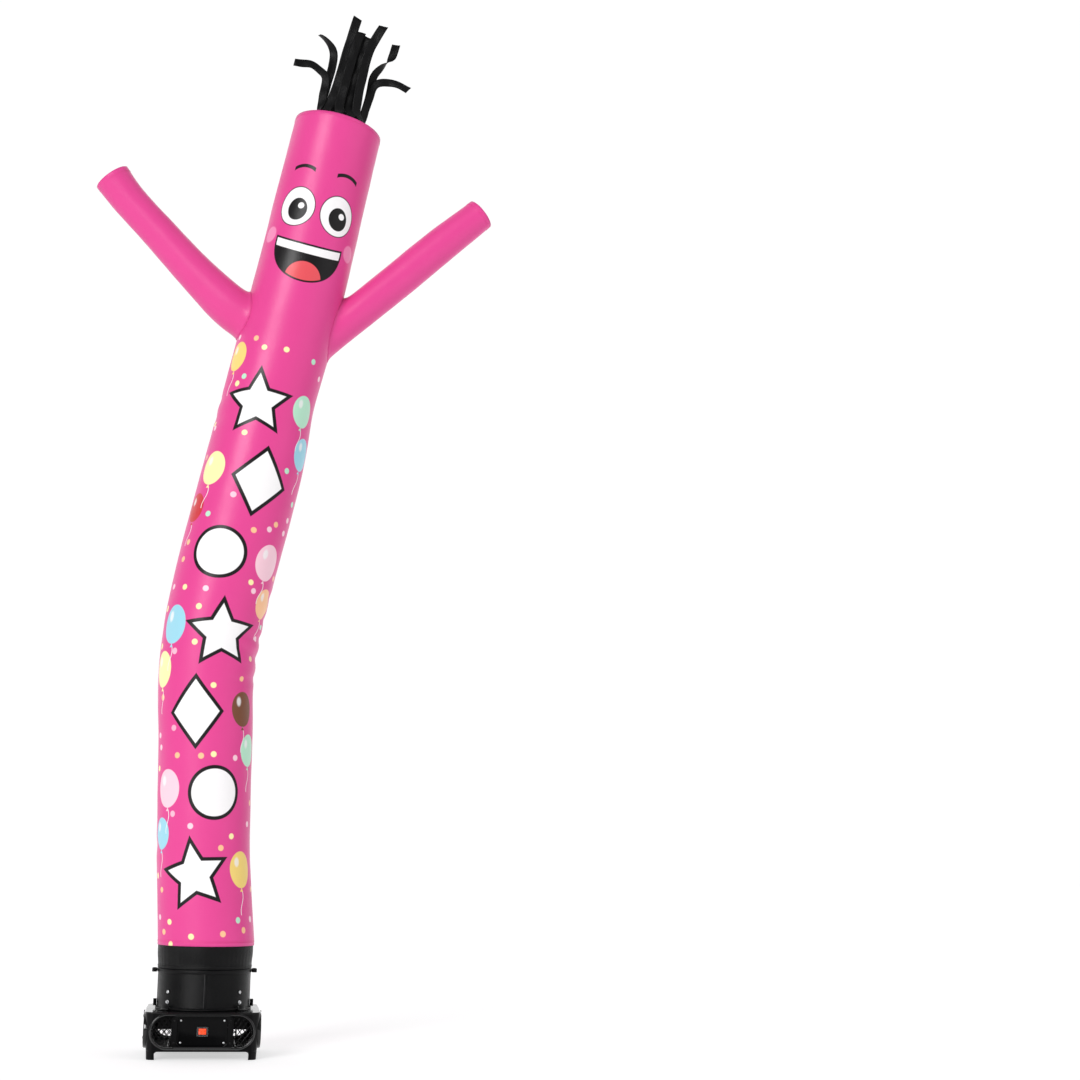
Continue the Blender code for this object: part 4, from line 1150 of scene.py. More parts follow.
def buildBody():
    setup = bodySetup
    last = setup["along"] - 1
    runs = [bodyLine.length * closerAtEnds(i / last, 0.055) for i in range(setup["along"])]

    def placeOf(i, k):
        angle = math.tau * k / setup["around"] - math.pi
        lift = bodyLift(runs[i], angle, bodyLine.point(runs[i], angle, -setup["shrink"]))
        return bodyLine.point(runs[i], angle, lift - setup["shrink"]), (angle * setup["girthRadius"], runs[i])

    body = thicken(clothGrid("bodyCloth", "body", setup["around"], len(runs), placeOf), setup["wall"])
    bores = [armBore(line) for line, _ in armLines.values()]
    for bore in bores:
        cut = body.modifiers.new("armHole", "BOOLEAN")
        cut.object, cut.operation, cut.solver = bore, "DIFFERENCE", "EXACT"
    settled(madeReal(body))
    for bore in bores:
        bpy.data.objects.remove(bore, do_unlink=True)
    while len(body.data.materials) > 1:
        body.data.materials.pop()
    fitted(body, "pink_cloth", "body_tube")
    # double stitching down the back seam, then round the hem and the head
    lines = [[bodyLine.point(bodyLine.length * i / 400, math.pi + side * 0.0065 / setup["girthRadius"],
                             0.0009)
              for i in range(401)] for side in (-1, 1)]
    seams = sewn("bodySeamStitches", "pink_cloth", lines, closed=False)
    rings = sewn("bodyHemStitches", "pink_cloth",
                 [bodyLine.ring(run, 0.0002, 160) for run in (0.012, 0.016, bodyLine.length - 0.012)])


def buildArm(side):
    setup = armSetup
    line, roots = armLines[side]
    hemWide, hemProud = setup["hem"]
    flare, flareFade = setup["flare"]
    radius = sum(row[2] for row in setup[side]) / len(setup[side])
    seed = 7.5 if side == "left" else 7.0

    def placeOf(i, k):
        angle = math.tau * k / setup["around"]
        t = closerAtEnds(i / (setup["along"] - 1), 0.10) ** 1.2
        root = roots[k % len(roots)]
        run = root + (line.length - root) * t
        lift = waves(setup["waves"], line.point(run, angle), 7.0, 19.0)
        lift -= gathers(setup["pleats"], angle, seed, run - root) * ease((run - root) / 0.004)
        lift += hemProud * ease((run - line.length + hemWide + 0.0015) / 0.0015)
        lift -= gathers(setup["handPleats"], angle, seed + 2.0, line.length - run)
        lift = lift * ease((run - root) / 0.003 + 0.1) + flare * math.exp(-(run - root) / flareFade)
        return line.point(run, angle, lift), (angle * radius, run)

    arm = clothGrid("armCloth_" + side, "arm", setup["around"], setup["along"], placeOf)
    fitted(settled(madeReal(thicken(arm, setup["wall"]))), "pink_cloth", "arm_" + side)
    step = 0.0045
    proud = 0.0003 + flare * math.exp(-step / flareFade)
    lines = [[line.point(root + step, math.tau * k / len(roots), proud) for k, root in enumerate(roots)],
             line.ring(line.length - hemWide + 0.001, 0.0006, 64)]
    stitches = sewn("armStitches_" + side, "pink_cloth", lines)
    math.tau * radius
    line.length - min(roots)


buildBody()
print("body cloth made")
for side in armLines:
    buildArm(side)
print("arms made")


# head end: crowned panel with its vent, and the slit fringe for hair

headSetup = {
    "vent": 0.088,
    "crown": 0.011,
    "rim": 0.1575 * math.cos(math.pi / 32) - 0.0018,    # inside the faceted tube's wall
    "fringe": 0.0890,
    "band": 0.014,
    "widths": (0.0335, 0.0300),     # of a streamer in the middle and at the sides
    "stations": 30,
    "across": 6,
    "wall": 0.0009,
}
streamers = (
    # azimuth, then across, back, up and the turn of the flat side in degrees
    (202.5, ((-0.080, -0.028, 0.070, -30), (-0.082, -0.020, 0.135, -8), (-0.087, -0.014, 0.177, 0),
             (-0.112, -0.012, 0.200, 5), (-0.152, -0.014, 0.212, 8), (-0.210, -0.020, 0.200, 10))),
    (157.5, ((-0.079, 0.030, 0.085, 30), (-0.078, 0.024, 0.165, 12), (-0.075, 0.020, 0.236, 0),
             (-0.082, 0.018, 0.291, -16), (-0.106, 0.018, 0.324, -60), (-0.149, 0.014, 0.342, -104))),
    (232.5, ((-0.046, -0.062, 0.075, -16), (-0.038, -0.046, 0.185, -6), (-0.034, -0.034, 0.300, -4),
             (-0.026, -0.026, 0.430, 0))),
    (262.5, ((-0.016, -0.076, 0.075, -4), (-0.013, -0.060, 0.180, 6), (-0.010, -0.048, 0.290, 8),
             (0.000, -0.040, 0.372, 10))),
    (292.5, ((0.017, -0.062, 0.075, 10), (0.015, -0.046, 0.180, -6), (0.018, -0.034, 0.290, -8),
             (0.026, -0.026, 0.366, -12))),
    (322.5, ((0.047, -0.066, 0.075, 26), (0.041, -0.056, 0.190, 12), (0.043, -0.044, 0.310, 8),
             (0.072, -0.036, 0.420, -6))),
    (337.5, ((0.078, -0.028, 0.075, 30), (0.083, -0.020, 0.145, 10), (0.087, -0.014, 0.190, 0),
             (0.106, -0.012, 0.213, -5), (0.150, -0.014, 0.226, -8), (0.214, -0.020, 0.214, -10))),
    (22.5, ((0.078, 0.030, 0.085, -30), (0.081, 0.024, 0.165, 0), (0.079, 0.020, 0.240, 20),
            (0.096, 0.020, 0.284, 50), (0.118, 0.018, 0.310, 110), (0.128, 0.016, 0.336, 172),
            (0.132, 0.014, 0.386, 184))),
    (37.5, ((0.047, 0.060, 0.080, -20), (0.040, 0.052, 0.200, 10), (0.034, 0.042, 0.300, 14),
            (0.038, 0.034, 0.360, 16))),
    (67.5, ((0.024, 0.070, 0.080, -10), (0.028, 0.038, 0.190, -8), (0.030, 0.026, 0.290, -10),
            (0.040, 0.022, 0.346, -12))),
    (97.5, ((-0.008, 0.076, 0.080, 4), (0.000, 0.058, 0.190, 6), (0.003, 0.050, 0.290, 10),
            (0.012, 0.044, 0.376, 14))),
    (127.5, ((-0.040, 0.062, 0.080, 14), (-0.028, 0.042, 0.190, -8), (-0.022, 0.030, 0.290, -10),
             (-0.014, 0.024, 0.352, -12))),
)


def headPlace():
    tip, along, _ = bodyLine.at(bodyLine.length)
    return Matrix.Translation(tip) @ spin(math.atan2(along.x, along.z), "Y")


def buildHeadPanel():
    rim, crown, vent = (headSetup[key] for key in ("rim", "crown", "vent"))
    profile = [[vent, crown], [0.105, crown * 0.9], [0.128, crown * 0.62], [0.146, crown * 0.15],
               [rim - 0.0012, -0.004], [rim, -0.015]]
    even = evenRows(profile, 26, 2)

    def placeOf(i, k):
        radius, z = even[i]
        angle = math.tau * k / 128
        if radius < rim - 0.0015:
            z -= gathers((44, 0.0012, 0.022), angle, 12.0, rim - radius)
            z -= gathers((30, 0.0007, 0.012), angle, 13.0, radius - vent)
        x, y = radius * math.cos(angle), radius * math.sin(angle)
        return Vector((x, y, z)), (x, y + 0.6)

    panel = clothGrid("headPanel", "arm", 128, len(even), placeOf)
    panel.data.flip_normals()
    madeReal(thicken(panel, bodySetup["wall"]))
    bm = bmesh.new()
    bm.from_mesh(panel.data)
    faceOut(bm)
    bm.to_mesh(panel.data)
    bm.free()
    fitted(settled(panel, headPlace()), "pink_cloth", "head_panel")
    stitches = sewn("headStitches", "pink_cloth",
                    [circle(0.0935, crown * 0.985, 120), circle(0.1485, crown * 0.02, 120)],
                    place=headPlace())


def streamerLine(azimuth, route):
    a = math.radians(azimuth)
    rootTurn = (azimuth - 270 + 90) % 180 - 90
    foot = headSetup["crown"] + gap + headSetup["band"]
    rows = [(headSetup["fringe"] * math.cos(a), headSetup["fringe"] * math.sin(a), z, rootTurn)
            for z in (foot, foot + headSetup["band"])]
    return evenRows([list(r) for r in (*rows, *route)], headSetup["stations"], 3)


def addStreamer(bm, number, root, width, line):
    across = headSetup["across"]
    previous, run = root, 0.0
    for j in range(1, len(line)):
        here, before = Vector(line[j][:3]), Vector(line[j - 1][:3])
        along = Vector(line[min(j + 1, len(line) - 1)][:3]) - before
        run += (here - before).length
        side = Vector((0, 1, 0)).cross(along).normalized()
        side = Matrix.Rotation(math.radians(line[j][3]), 3, along.normalized()) @ side
        if side.dot(previous[-1].co - previous[0].co) < 0:
            side.negate()
        flat = side.cross(along).normalized()
        flutter = 0.0020 * math.sin(j * 0.9 + number * 1.7) * ease(j / 8)
        new = []
        for t in (2 * k / across - 1 for k in range(across + 1)):
            cup = 0.0022 * (t * t - 0.4) * math.cos(number * 2.1 + j * 0.12) * ease(j / 5)
            curl = 0.0016 * t * math.sin(number + j * 0.55) * ease(j / 6)
            tip = 0.004 * t * (1 if number % 2 else -1) if j == len(line) - 1 else 0.0
            new.append(bm.verts.new(here + side * (t * width / 2)
                                    + flat * (cup + curl + flutter) + along.normalized() * tip))
        mappedRows(bm, [previous, new], across, lambda a, b: (b * 0.0058, 0.03 + run + (a - 1) * 0.014))
        previous = new


def buildHair():
    setup, columns = headSetup, 96
    bm = bmesh.new()
    bm.loops.layers.uv.new("clothMap")
    levels = [setup["crown"] + gap + setup["band"] * t for t in (0, 0.35, 0.7, 1.0)]
    rings = [[bm.verts.new(p) for p in circle(setup["fringe"], z, columns)] for z in levels]
    mappedRows(bm, rings, columns, lambda i, k: (k * 0.0058, levels[i]))
    for number, (azimuth, route) in enumerate(streamers):
        first = int(azimuth / 360 * 24) * 4 - 1
        root = [rings[3][(first + k) % columns] for k in range(setup["across"] + 1)]
        width = setup["widths"][abs(math.cos(math.radians(azimuth))) > 0.9]
        addStreamer(bm, number, root, width, streamerLine(azimuth, route))
    faceOut(bm)
    hair = madeReal(thicken(fromBmesh("hairFringe", bm, "black", 60), setup["wall"], 0))
    fitted(settled(hair, headPlace()), "black_cloth", "hair_fringe")


buildHeadPanel()
buildHair()
print("head made")


# cuff, gripped by the hook band on the duct

cuffSetup = {
    "heights": (0.2865, 0.3715),
    "grip": 0.1534,
    "wide": 0.1567,
    "wall": 0.0013,
    "flare": (0.2960, 0.3420),
    "pleats": 54,
    "pleatDepth": 0.0005,
    "steps": 320,
}


def buildCuff():
    setup = cuffSetup
    (low, high), grip = setup["heights"], setup["grip"]
    levels = [low, low + 0.0012, 0.290, 0.2945, 0.2950, *(0.299 + 0.004 * i for i in range(7)), 0.330,
              0.340, 0.352, 0.362, high]
    flareLow, flareHigh = setup["flare"]

    def placeOf(i, k):
        z = levels[i]
        angle = math.tau * k / setup["steps"]
        radius = grip + (setup["wide"] - grip) * ease((z - flareLow) / (flareHigh - flareLow))
        depth = setup["pleatDepth"] * (1 - ease((z - 0.318) / 0.030)) + 0.0003
        lift = depth * pleat(angle, setup["pleats"], 21.0)
        lift += 0.0007 * (1 - ease((z - low - 0.008) / 0.001))          # folded hem
        radius += setup["wall"] + (lift if z <= 0.352 else 0.0001)
        return Vector((radius * math.cos(angle), radius * math.sin(angle), z)), (angle * 0.155, z)

    cuff = thicken(clothGrid("cuffCloth", "black", setup["steps"], len(levels), placeOf), setup["wall"])
    fitted(settled(madeReal(cuff)), "black_cloth", "cuff")
    stitches = sewn("cuffStitches", "black_cloth", [circle(grip + 0.0034, low + 0.0072, 120)], "blackThread")


buildCuff()
print("cuff made")


# blower base: one moulded shell with a rimmed stadium window in each side

baseSetup = {
    "deckHalf": 0.185,
    "footHalf": 0.177,
    "cornerDeck": 0.028,
    "cornerFoot": 0.022,
    "wallFoot": 0.026,
    "wallTop": 0.1499,
    "wall": 0.0026,
    "holeRadius": 0.136,
    "window": (0.163, 0.050),       # half length and half height
    "windowZ": 0.0905,
    "rimFront": 0.190,
    "rimRows": (                    # out from the window's edge, and depth from the rim's front
        (0.0, 0.0085), (0.0, 0.0022), (0.0004, 0.0009), (0.0013, 0.0001), (0.0030, 0.0),
        (0.0048, 0.0001), (0.0062, 0.0006), (0.0073, 0.0017), (0.0079, 0.0032),
    ),
    "quarter": (10, 8, 8),          # columns on the straight and on each half arc
    "foot": 0.0265,
    "footFillet": 0.009,
    "rimWide": 0.0087,
    "filletSteps": (0.35, 0.7, 1.0),
    "deckRing": 0.150,
}
quarterTurns = (0, 90, 180, 270)
corners = [(sx, sy) for sx in (-1, 1) for sy in (-1, 1)]


def sideShape(z):
    # half width, corner radius and half of the straight at a height
    t = z / deckZ
    half, corner = (baseSetup[foot] + (baseSetup[deck] - baseSetup[foot]) * t
                    for foot, deck in (("footHalf", "deckHalf"), ("cornerFoot", "cornerDeck")))
    return half, corner, half - corner


def wallPoint(q, z):
    # q: -1 to 1 along the straight, out to 2 at the middle of each corner
    half, corner, straight = sideShape(z)
    if abs(q) <= 1:
        return Vector((q * straight, -half, z))
    turn = (abs(q) - 1) * math.pi / 4
    return Vector((math.copysign(straight + corner * math.sin(turn), q),
                   -(straight + corner * math.cos(turn)), z))


def wallQ(x, z):
    _, corner, straight = sideShape(z)
    if abs(x) <= straight:
        return x / straight
    reach = min((abs(x) - straight) / corner, 0.7071)
    return math.copysign(1 + math.asin(reach) / (math.pi / 4), x)


def windowColumns():
    # the window's columns: the centre that each turns about, and its direction out of the stadium
    length, height = baseSetup["window"]
    straight = length - height
    flat, upper, lower = baseSetup["quarter"]
    quarter = [(straight * i / flat, math.pi / 2) for i in range(flat)]
    quarter += [(straight, math.pi / 2 - math.pi / 4 * i / upper) for i in range(upper)]
    quarter += [(straight, math.pi / 4 - math.pi / 4 * i / lower) for i in range(lower)]
    back = [(straight, 0.0)] + quarter[:0:-1]
    return [(sx * cx, sx * math.cos(angle), sz * math.sin(angle))
            for sx, sz, part in ((1, 1, quarter), (1, -1, back), (-1, -1, quarter), (-1, 1, back))
            for cx, angle in part]


def borderSpot(cx, dx, dz):
    # the spot on the side's border that a column runs to, as q and height
    low, high, middle = (baseSetup[key] for key in ("wallFoot", "wallTop", "windowZ"))
    length, height = baseSetup["window"]
    edge, diagonal = height + baseSetup["rimWide"], math.sin(math.pi / 4)
    if abs(dz) < diagonal - 1e-6:
        t = dz / diagonal
        return math.copysign(2.0, dx), middle + (high - middle if t > 0 else middle - low) * t
    z = high if dz > 0 else low
    _, corner, straight = sideShape(z)
    arc, x = corner * math.pi / 4, cx + dx * edge
    run = (straight + arc) * abs(x) / (length - height + edge * math.cos(math.pi / 4))
    q = run / straight if run <= straight else 1 + (run - straight) / arc
    return math.copysign(min(q, 2.0), x or 1), z


def buildSide(bm, azimuth):
    setup = baseSetup
    height, middle = setup["window"][1], setup["windowZ"]
    columns = windowColumns()
    loops = [[Vector((cx + dx * (height + out), -setup["rimFront"] + depth, middle + dz * (height + out)))
              for cx, dx, dz in columns] for out, depth in setup["rimRows"]]
    edge = height + setup["rimWide"]
    spots = [(wallQ(cx + dx * edge, middle + dz * edge), middle + dz * edge, *borderSpot(cx, dx, dz))
             for cx, dx, dz in columns]
    for t in (0.0, 0.18, 0.4, 0.7, 1.0):
        loops.append([wallPoint(q0 + (q1 - q0) * t, z0 + (z1 - z0) * t) for q0, z0, q1, z1 in spots])
    turn = Matrix.Rotation(math.radians(azimuth), 3, "Z")
    skin(bm, [[turn @ p for p in loop] for loop in loops])


def buildDeck(bm):
    # the small fillet, then the deck in to its hole, from the walls' upper border
    setup = baseSetup
    top, ring = setup["wallTop"], setup["deckRing"]
    rise, straight = deckZ - top, sideShape(top)[2]
    border = []
    spots = sorted(borderSpot(*column)[0] for column in windowColumns()
                   if column[2] >= math.sin(math.pi / 4) - 1e-6)
    for azimuth in quarterTurns:
        turn = Matrix.Rotation(math.radians(azimuth), 3, "Z")
        border += [(turn @ wallPoint(q, top), turn) for q in spots[:-1]]
    loops = [[p for p, _ in border]]
    for t in setup["filletSteps"]:
        shrink = rise * (1 - math.sqrt(max(1 - t * t, 0)))
        loop = []
        for p, turn in border:
            across = max(-straight, min(straight, p.dot(turn @ Vector((1, 0, 0)))))
            middle = turn @ Vector((across, -straight, 0))
            flat = Vector((p.x, p.y, 0)) - middle
            flat = flat * (1 - shrink / flat.length)
            loop.append(Vector((middle.x + flat.x, middle.y + flat.y, top + rise * t)))
        loops.append(loop)
    outer = loops[-1]
    rounded = [Vector((p.x, p.y, 0)).normalized() * ring + Vector((0, 0, deckZ)) for p in outer]
    loops += [[p.lerp(target, t) for p, target in zip(outer, rounded)] for t in (0.03, 0.35, 0.7, 1.0)]
    loops.append([Vector((p.x, p.y, 0)) * (setup["holeRadius"] / ring) + Vector((0, 0, deckZ))
                  for p in rounded])
    skin(bm, loops)


def footBlock(sx, sy):
    # a foot that carries the corner post on down to the floor, flared into the wall
    levels = ((0.0, 0.0012, 0.0), (0.0012, 0.0, 0.0), (0.010, 0.0, 0.0), (0.0165, 0.0, 0.0),
              (0.0200, 0.0, 0.10), (0.0228, 0.0, 0.32), (0.0245, 0.0, 0.62), (0.0257, 0.0, 1.0),
              (0.0264, 0.0024, 1.0), (0.036, 0.0030, 1.0))
    loops = []
    for z, inset, flare in levels:
        half, corner, _ = sideShape(z)
        inner = half - (baseSetup["foot"] + baseSetup["footFillet"] * flare)
        outer, radius = half - inset, corner - inset
        side = [(inner + 0.003, inner), (outer - 0.002, inner), (outer, inner + 0.002)]
        arc = [(outer - radius + radius * math.cos(a), outer - radius + radius * math.sin(a))
               for a in (math.pi / 2 * (1 - i / 8) for i in range(9))]
        loop = [(y, x) for x, y in side] + arc + side[::-1]
        loops.append([(sx * x, sy * y, z) for x, y in loop])
    return skinned("foot", loops, "housing", 40)


insideSetup = {
    "skirt": (0.1600, 0.0026, 0.020, 0.096, 0.1495),    # half width, wall, corner, low and high
    "bars": 22,
    "reach": 0.1735,
    "bar": (0.0106, 0.0040),
    "height": 0.0310,
    "crossBars": (-0.11, 0.0, 0.11),
}


def baseInside():
    # a square skirt under the deck and a bottom grille, which darken what shows behind the lattices
    setup = insideSetup
    half, wall, corner, low, high = setup["skirt"]
    rows = [(half - inset, half - inset, corner, z)
            for inset, z in ((0, high), (0, low), (wall, low), (wall, high))]
    skirt = loftRows("skirt", rows, "housing", 40, 4, True)
    reach, count = setup["reach"], setup["bars"]
    places = [reach * (2 * (i + 0.5) / count - 1) for i in range(count)]
    lines = [[(-reach, y, 0), (reach, y, 0)] for y in places]
    lines += [[(x, -reach, 0), (x, reach, 0)] for x in setup["crossBars"]]
    wide, thick = setup["bar"]
    return skirt, moved(barsAlong("bottomBars", lines, thick, wide), shift(0, 0, setup["height"]))


def buildBase():
    bm = bmesh.new()
    for azimuth in quarterTurns:
        buildSide(bm, azimuth)
    buildDeck(bm)
    bmesh.ops.remove_doubles(bm, verts=bm.verts, dist=0.00002)
    faceOut(bm)
    upward = sum(f.normal.z * f.calc_area() for f in bm.faces if f.calc_center_median().z > deckZ - 1e-5)
    if upward < 0:
        bmesh.ops.reverse_faces(bm, faces=bm.faces)
    shell = madeReal(thicken(fromBmesh("baseShell", bm, "housing", 50), baseSetup["wall"]))
    feet = [footBlock(sx, sy) for sx, sy in corners]
    base = joined("baseHousing", [shell, *feet, *baseInside()])
    fitted(settled(base), "housing", "base_housing")


buildBase()
print("base made")


# screws and bolts

def panHead(radius, height, finish, recess=0.55):
    # a domed head with a cross recess, along +Z
    around, steps, arm = 32, 9, radius * 0.13
    rows = []
    for t in (i / steps for i in range(1, steps + 1)):
        dome = height * math.sqrt(max(1 - (0.93 * t) ** 2.6, 0.0))
        sunk = height * 0.55 * (1 - t / recess * 0.5) if t < recess else 0.0
        rows.append([(x, y, dome - sunk if min(abs(x), abs(y)) < arm else dome)
                     for x, y, _ in circle(radius * t, 0, around)])
    rows.append(circle(radius, 0, around))
    bm = bmesh.new()
    top = bm.verts.new((0, 0, height * 0.45))
    first = skin(bm, rows, capEnd=True)[0]
    for k in range(around):
        bm.faces.new((top, first[k], first[(k + 1) % around]))
    faceOut(bm)
    return fromBmesh("panHead", bm, finish, 35)


def hexBolt(finish):
    # a washer and a chamfered hexagon head, along +Z
    washer = lathe("washer", [(0.0, 0.0012), (0.0060, 0.0012), (0.0064, 0.0009), (0.0064, 0.0), (0.0, 0.0)],
                   32, finish, closed=False)
    loops = []
    for radius, z, hexagon in ((0.0046, 0.0010, True), (0.0046, 0.0044, True), (0.0042, 0.0051, False),
                               (0.0026, 0.0052, False), (0.0024, 0.0044, False)):
        loop = []
        for a in (math.tau * k / 24 for k in range(24)):
            flat = math.cos(math.pi / 6) / math.cos((a % (math.pi / 3)) - math.pi / 6) if hexagon else 1.0
            loop.append((radius * flat * math.cos(a), radius * flat * math.sin(a), z))
        loops.append(loop)
    return joined("hexBolt", [washer, skinned("head", loops, finish, 30)])


def screwsAt(name, size, spots, finish="blackScrew"):
    return placeCopies(name, panHead(*size, finish), spots, finish)


# lattice panels and straps

latticeSetup = {
    "half": (0.1627, 0.0497),
    "pitch": (0.0172, 0.0222),
    "bar": 0.0024,
    "depth": 0.0028,
    "distance": 0.1833,
    "frame": 0.0036,
}
sides = {"front": 0, "right": 90, "back": 180, "left": 270}
windowZ = baseSetup["windowZ"]


def latticeLines(keepOut):
    # slanting lines clipped to the window, and to outside the switch panel in front
    pitchX, pitchY = latticeSetup["pitch"]
    length, height = latticeSetup["half"]
    lines = []
    for slope in (1, -1):
        for k in range(-12, 13):
            run = []
            for i in range(-400, 402):
                y = height * i / 400
                x = k * pitchX + slope * y * pitchX / pitchY
                over = max(abs(x) - (length - height), 0)
                if math.hypot(over, y) < height - 0.001 and abs(x) > keepOut:
                    run.append((x, y, 0))
                elif run:
                    lines.append([run[0], run[-1]])
                    run = []
    return [line for line in lines if math.dist(*line) > 0.004]


def stadiumLoop(inset, steps=20):
    length, height = latticeSetup["half"]
    straight, radius = length - height, height - inset
    angles = [math.pi * (i / steps - 0.5) for i in range(steps + 1)]
    return [(side * straight + radius * math.cos(a + turn), radius * math.sin(a + turn), 0)
            for side, turn in ((1, 0), (-1, math.pi)) for a in angles]


def buildLattice(side, azimuth):
    setup = latticeSetup
    front = side == "front"
    wide, deep = setup["frame"], setup["depth"]
    parts = [barsAlong("bars", latticeLines(0.0850 if front else 0.0), setup["bar"], deep),
             barsAlong("border", [stadiumLoop(wide / 2)], wide, deep + 0.0004, True)]
    if front:
        posts = [[(x, -0.0478, 0), (x, 0.0478, 0)] for x in (-0.0862, 0.0862)]
        parts.append(barsAlong("posts", posts, wide, 0.0032))
    lattice = settled(joined("lattice_" + side + "Bars", parts), facing(azimuth, setup["distance"], windowZ))
    fitted(lattice, "housing", "lattice_" + side)


strapSetup = {"reach": 0.0550, "screw": 0.0355, "pad": 0.0090, "narrow": 0.0040, "end": 0.0066,
              "thick": 0.0034, "sunk": 0.0021, "proud": 0.0054}


def buildStrap(side, azimuth):
    # an upright strap over the middle of a window: it dips between its two screwed pads
    reach, screw, pad, narrow, end, thick, sunk, proud = strapSetup.values()
    loops = []
    for i in range(61):
        z = reach * math.sin(math.pi * (i / 60 - 0.5))
        rise = ease((abs(z) - 0.012) / 0.016)
        fromScrew = min(abs(abs(z) - screw) / pad, 1.0)
        plain = narrow + (end - narrow) * ease((abs(z) - screw) / 0.008)
        width = max(pad * math.sqrt(1 - fromScrew ** 2), plain)
        fromEnd = min((reach - abs(z)) / 0.005, 1.0)
        width *= math.sqrt(max(1 - (1 - fromEnd) ** 2, 0.0004))
        depth = sunk + (proud - sunk) * rise
        loops.append([(x, -(depth + thick / 2 + y), z) for x, y in roundedLoop(width, thick / 2, 0.0012, 3)])
    place = spin(math.radians(azimuth)) @ shift(0, -0.185, windowZ)
    strap = moved(skinned("strap_" + side + "Bowed", loops, "housing", 50), place)
    spots = [place @ shift(0, -(proud + thick - 0.0001), z) @ spin(math.pi / 2, "X") for z in (-screw, screw)]
    screws = screwsAt("strapScrews", (0.0040, 0.0018), spots)
    fitted(settled(joined("strap_" + side + "Moulded", [strap, screws])), "housing", "strap_" + side)


diagonals = (40, 140, 220, 320)
ironSetup = {
    "out": 0.1525,
    "pan": (0.0056, 0.0034),
    "panZ": 0.211,
    "boltZ": 0.1785,
    "pocket": (0.0036, 0.0021),
    "bracket": (0.1596, 0.1780, 0.0366),        # near and far from the axis, and width
}


def outward(azimuth, radius, z, turn):
    a = math.radians(azimuth)
    place = shift(radius * math.cos(a), radius * math.sin(a), z) @ spin(a)
    return place @ spin(math.pi / 2, "Y") @ spin(turn)


def cornerSpots(distance, x, z, turnOf):
    # four places on the front, each with its screw turned its own way
    place = facing(0, distance, windowZ)
    return [place @ shift(sx * x, sz * z, 0) @ spin(turnOf(sx, sz)) for sx, sz in corners]


def buildIron():
    setup, four = ironSetup, range(1, 5)
    pans = screwsAt("ductScrews", setup["pan"],
                    [outward(a, setup["out"], setup["panZ"], a) for a in diagonals], "zinc")
    fitted(settled(pans), "zinc_screws", *[f"duct_screw_{k}" for k in four])
    bolts = placeCopies("ductBolts", hexBolt("zinc"),
                        [outward(a, setup["out"], setup["boltZ"], a * 0.3) for a in diagonals], "zinc")
    fitted(settled(bolts), "zinc_screws", *[f"duct_bolt_{k}" for k in four])
    spots = cornerSpots(0.1783, 0.0700, 0.0355, lambda sx, sz: sx + sz * 0.4)
    pocket = screwsAt("pocketScrews", setup["pocket"], spots, "zinc")
    fitted(settled(pocket), "zinc_screws", *[f"panel_screw_{k}" for k in four])
    (near, far, wide), floor = setup["bracket"], deckZ + gap
    outline = [(near, floor), (far, floor), (far, floor + 0.0035), (near + 0.0062, floor + 0.0040),
               (near + 0.0045, floor + 0.0058), (near + 0.0033, 0.1690), (near, 0.1690)]
    for k, azimuth in zip(four, diagonals):
        bracket = extruded(f"bracket_{k}Angle", outline, wide, "housing", 0.0007)
        fitted(settled(bracket, spin(math.radians(azimuth))), "housing", f"bracket_{k}")


for side, azimuth in sides.items():
    buildLattice(side, azimuth)
for side in ("right", "back", "left"):
    buildStrap(side, sides[side])
buildIron()
print("lattices, straps and fasteners made")


# switch panel in the front window, with its switch

panelSetup = {
    "half": (0.1000, 0.0530),
    "corner": 0.016,
    "pocket": (0.0810, 0.0455),
    "pocketCorner": 0.014,
    "front": 0.1920,
    "seat": 0.1903,
    "floor": 0.1780,
    "back": 0.1745,
    "tray": 0.0020,
}


def buildPanel():
    setup = panelSetup
    front, seat, floor, back, tray = (setup[key] for key in ("front", "seat", "floor", "back", "tray"))
    plate, pocket = (*setup["half"], setup["corner"]), (*setup["pocket"], setup["pocketCorner"])

    def row(size, inset, z, cornerInset=None):
        # a rounded rectangle, smaller all round by the inset
        halfX, halfZ, corner = size
        return halfX - inset, halfZ - inset, corner - (inset if cornerInset is None else cornerInset), z

    rows = [row(pocket, 0.001 - tray, back), row(pocket, -tray, back + 0.001), row(pocket, -tray, seat),
            row(plate, 0.0, seat), row(plate, 0.0, front - 0.0008),
            row(plate, 0.0003, front - 0.0002, 0.0), row(plate, 0.0009, front, 0.0)]
    for inset, depth in ((0.0040, 0.0), (0.0043, 0.0005), (0.0048, 0.0005), (0.0051, 0.0)):
        rows.append(row(plate, inset, front - depth, inset * 0.6))
    rows += [row(pocket, -0.0011, front), row(pocket, -0.0003, front - 0.0003),
             row(pocket, 0.0, front - 0.0012), row(pocket, 0.0006, floor + 0.0022),
             row(pocket, 0.0012, floor + 0.0008), row(pocket, 0.0030, floor)]
    panel = moved(loftRows("panelMoulding", rows, "housing", 40, 8), facing(0, 0, windowZ))
    spots = cornerSpots(front, 0.0905, 0.0350, lambda sx, sz: sx * sz)
    screws = screwsAt("frameScrews", (0.0034, 0.0018), spots)
    fitted(settled(joined("switchPanel", [panel, screws])), "housing", "switch_panel")


switchSetup = {
    "coverFront": 0.1906,
    "coverWall": 0.0012,
    "rocker": (0.00925, 0.0244),   # half height, width
    "rockerAt": 0.1810,
    "tilt": -8,
}


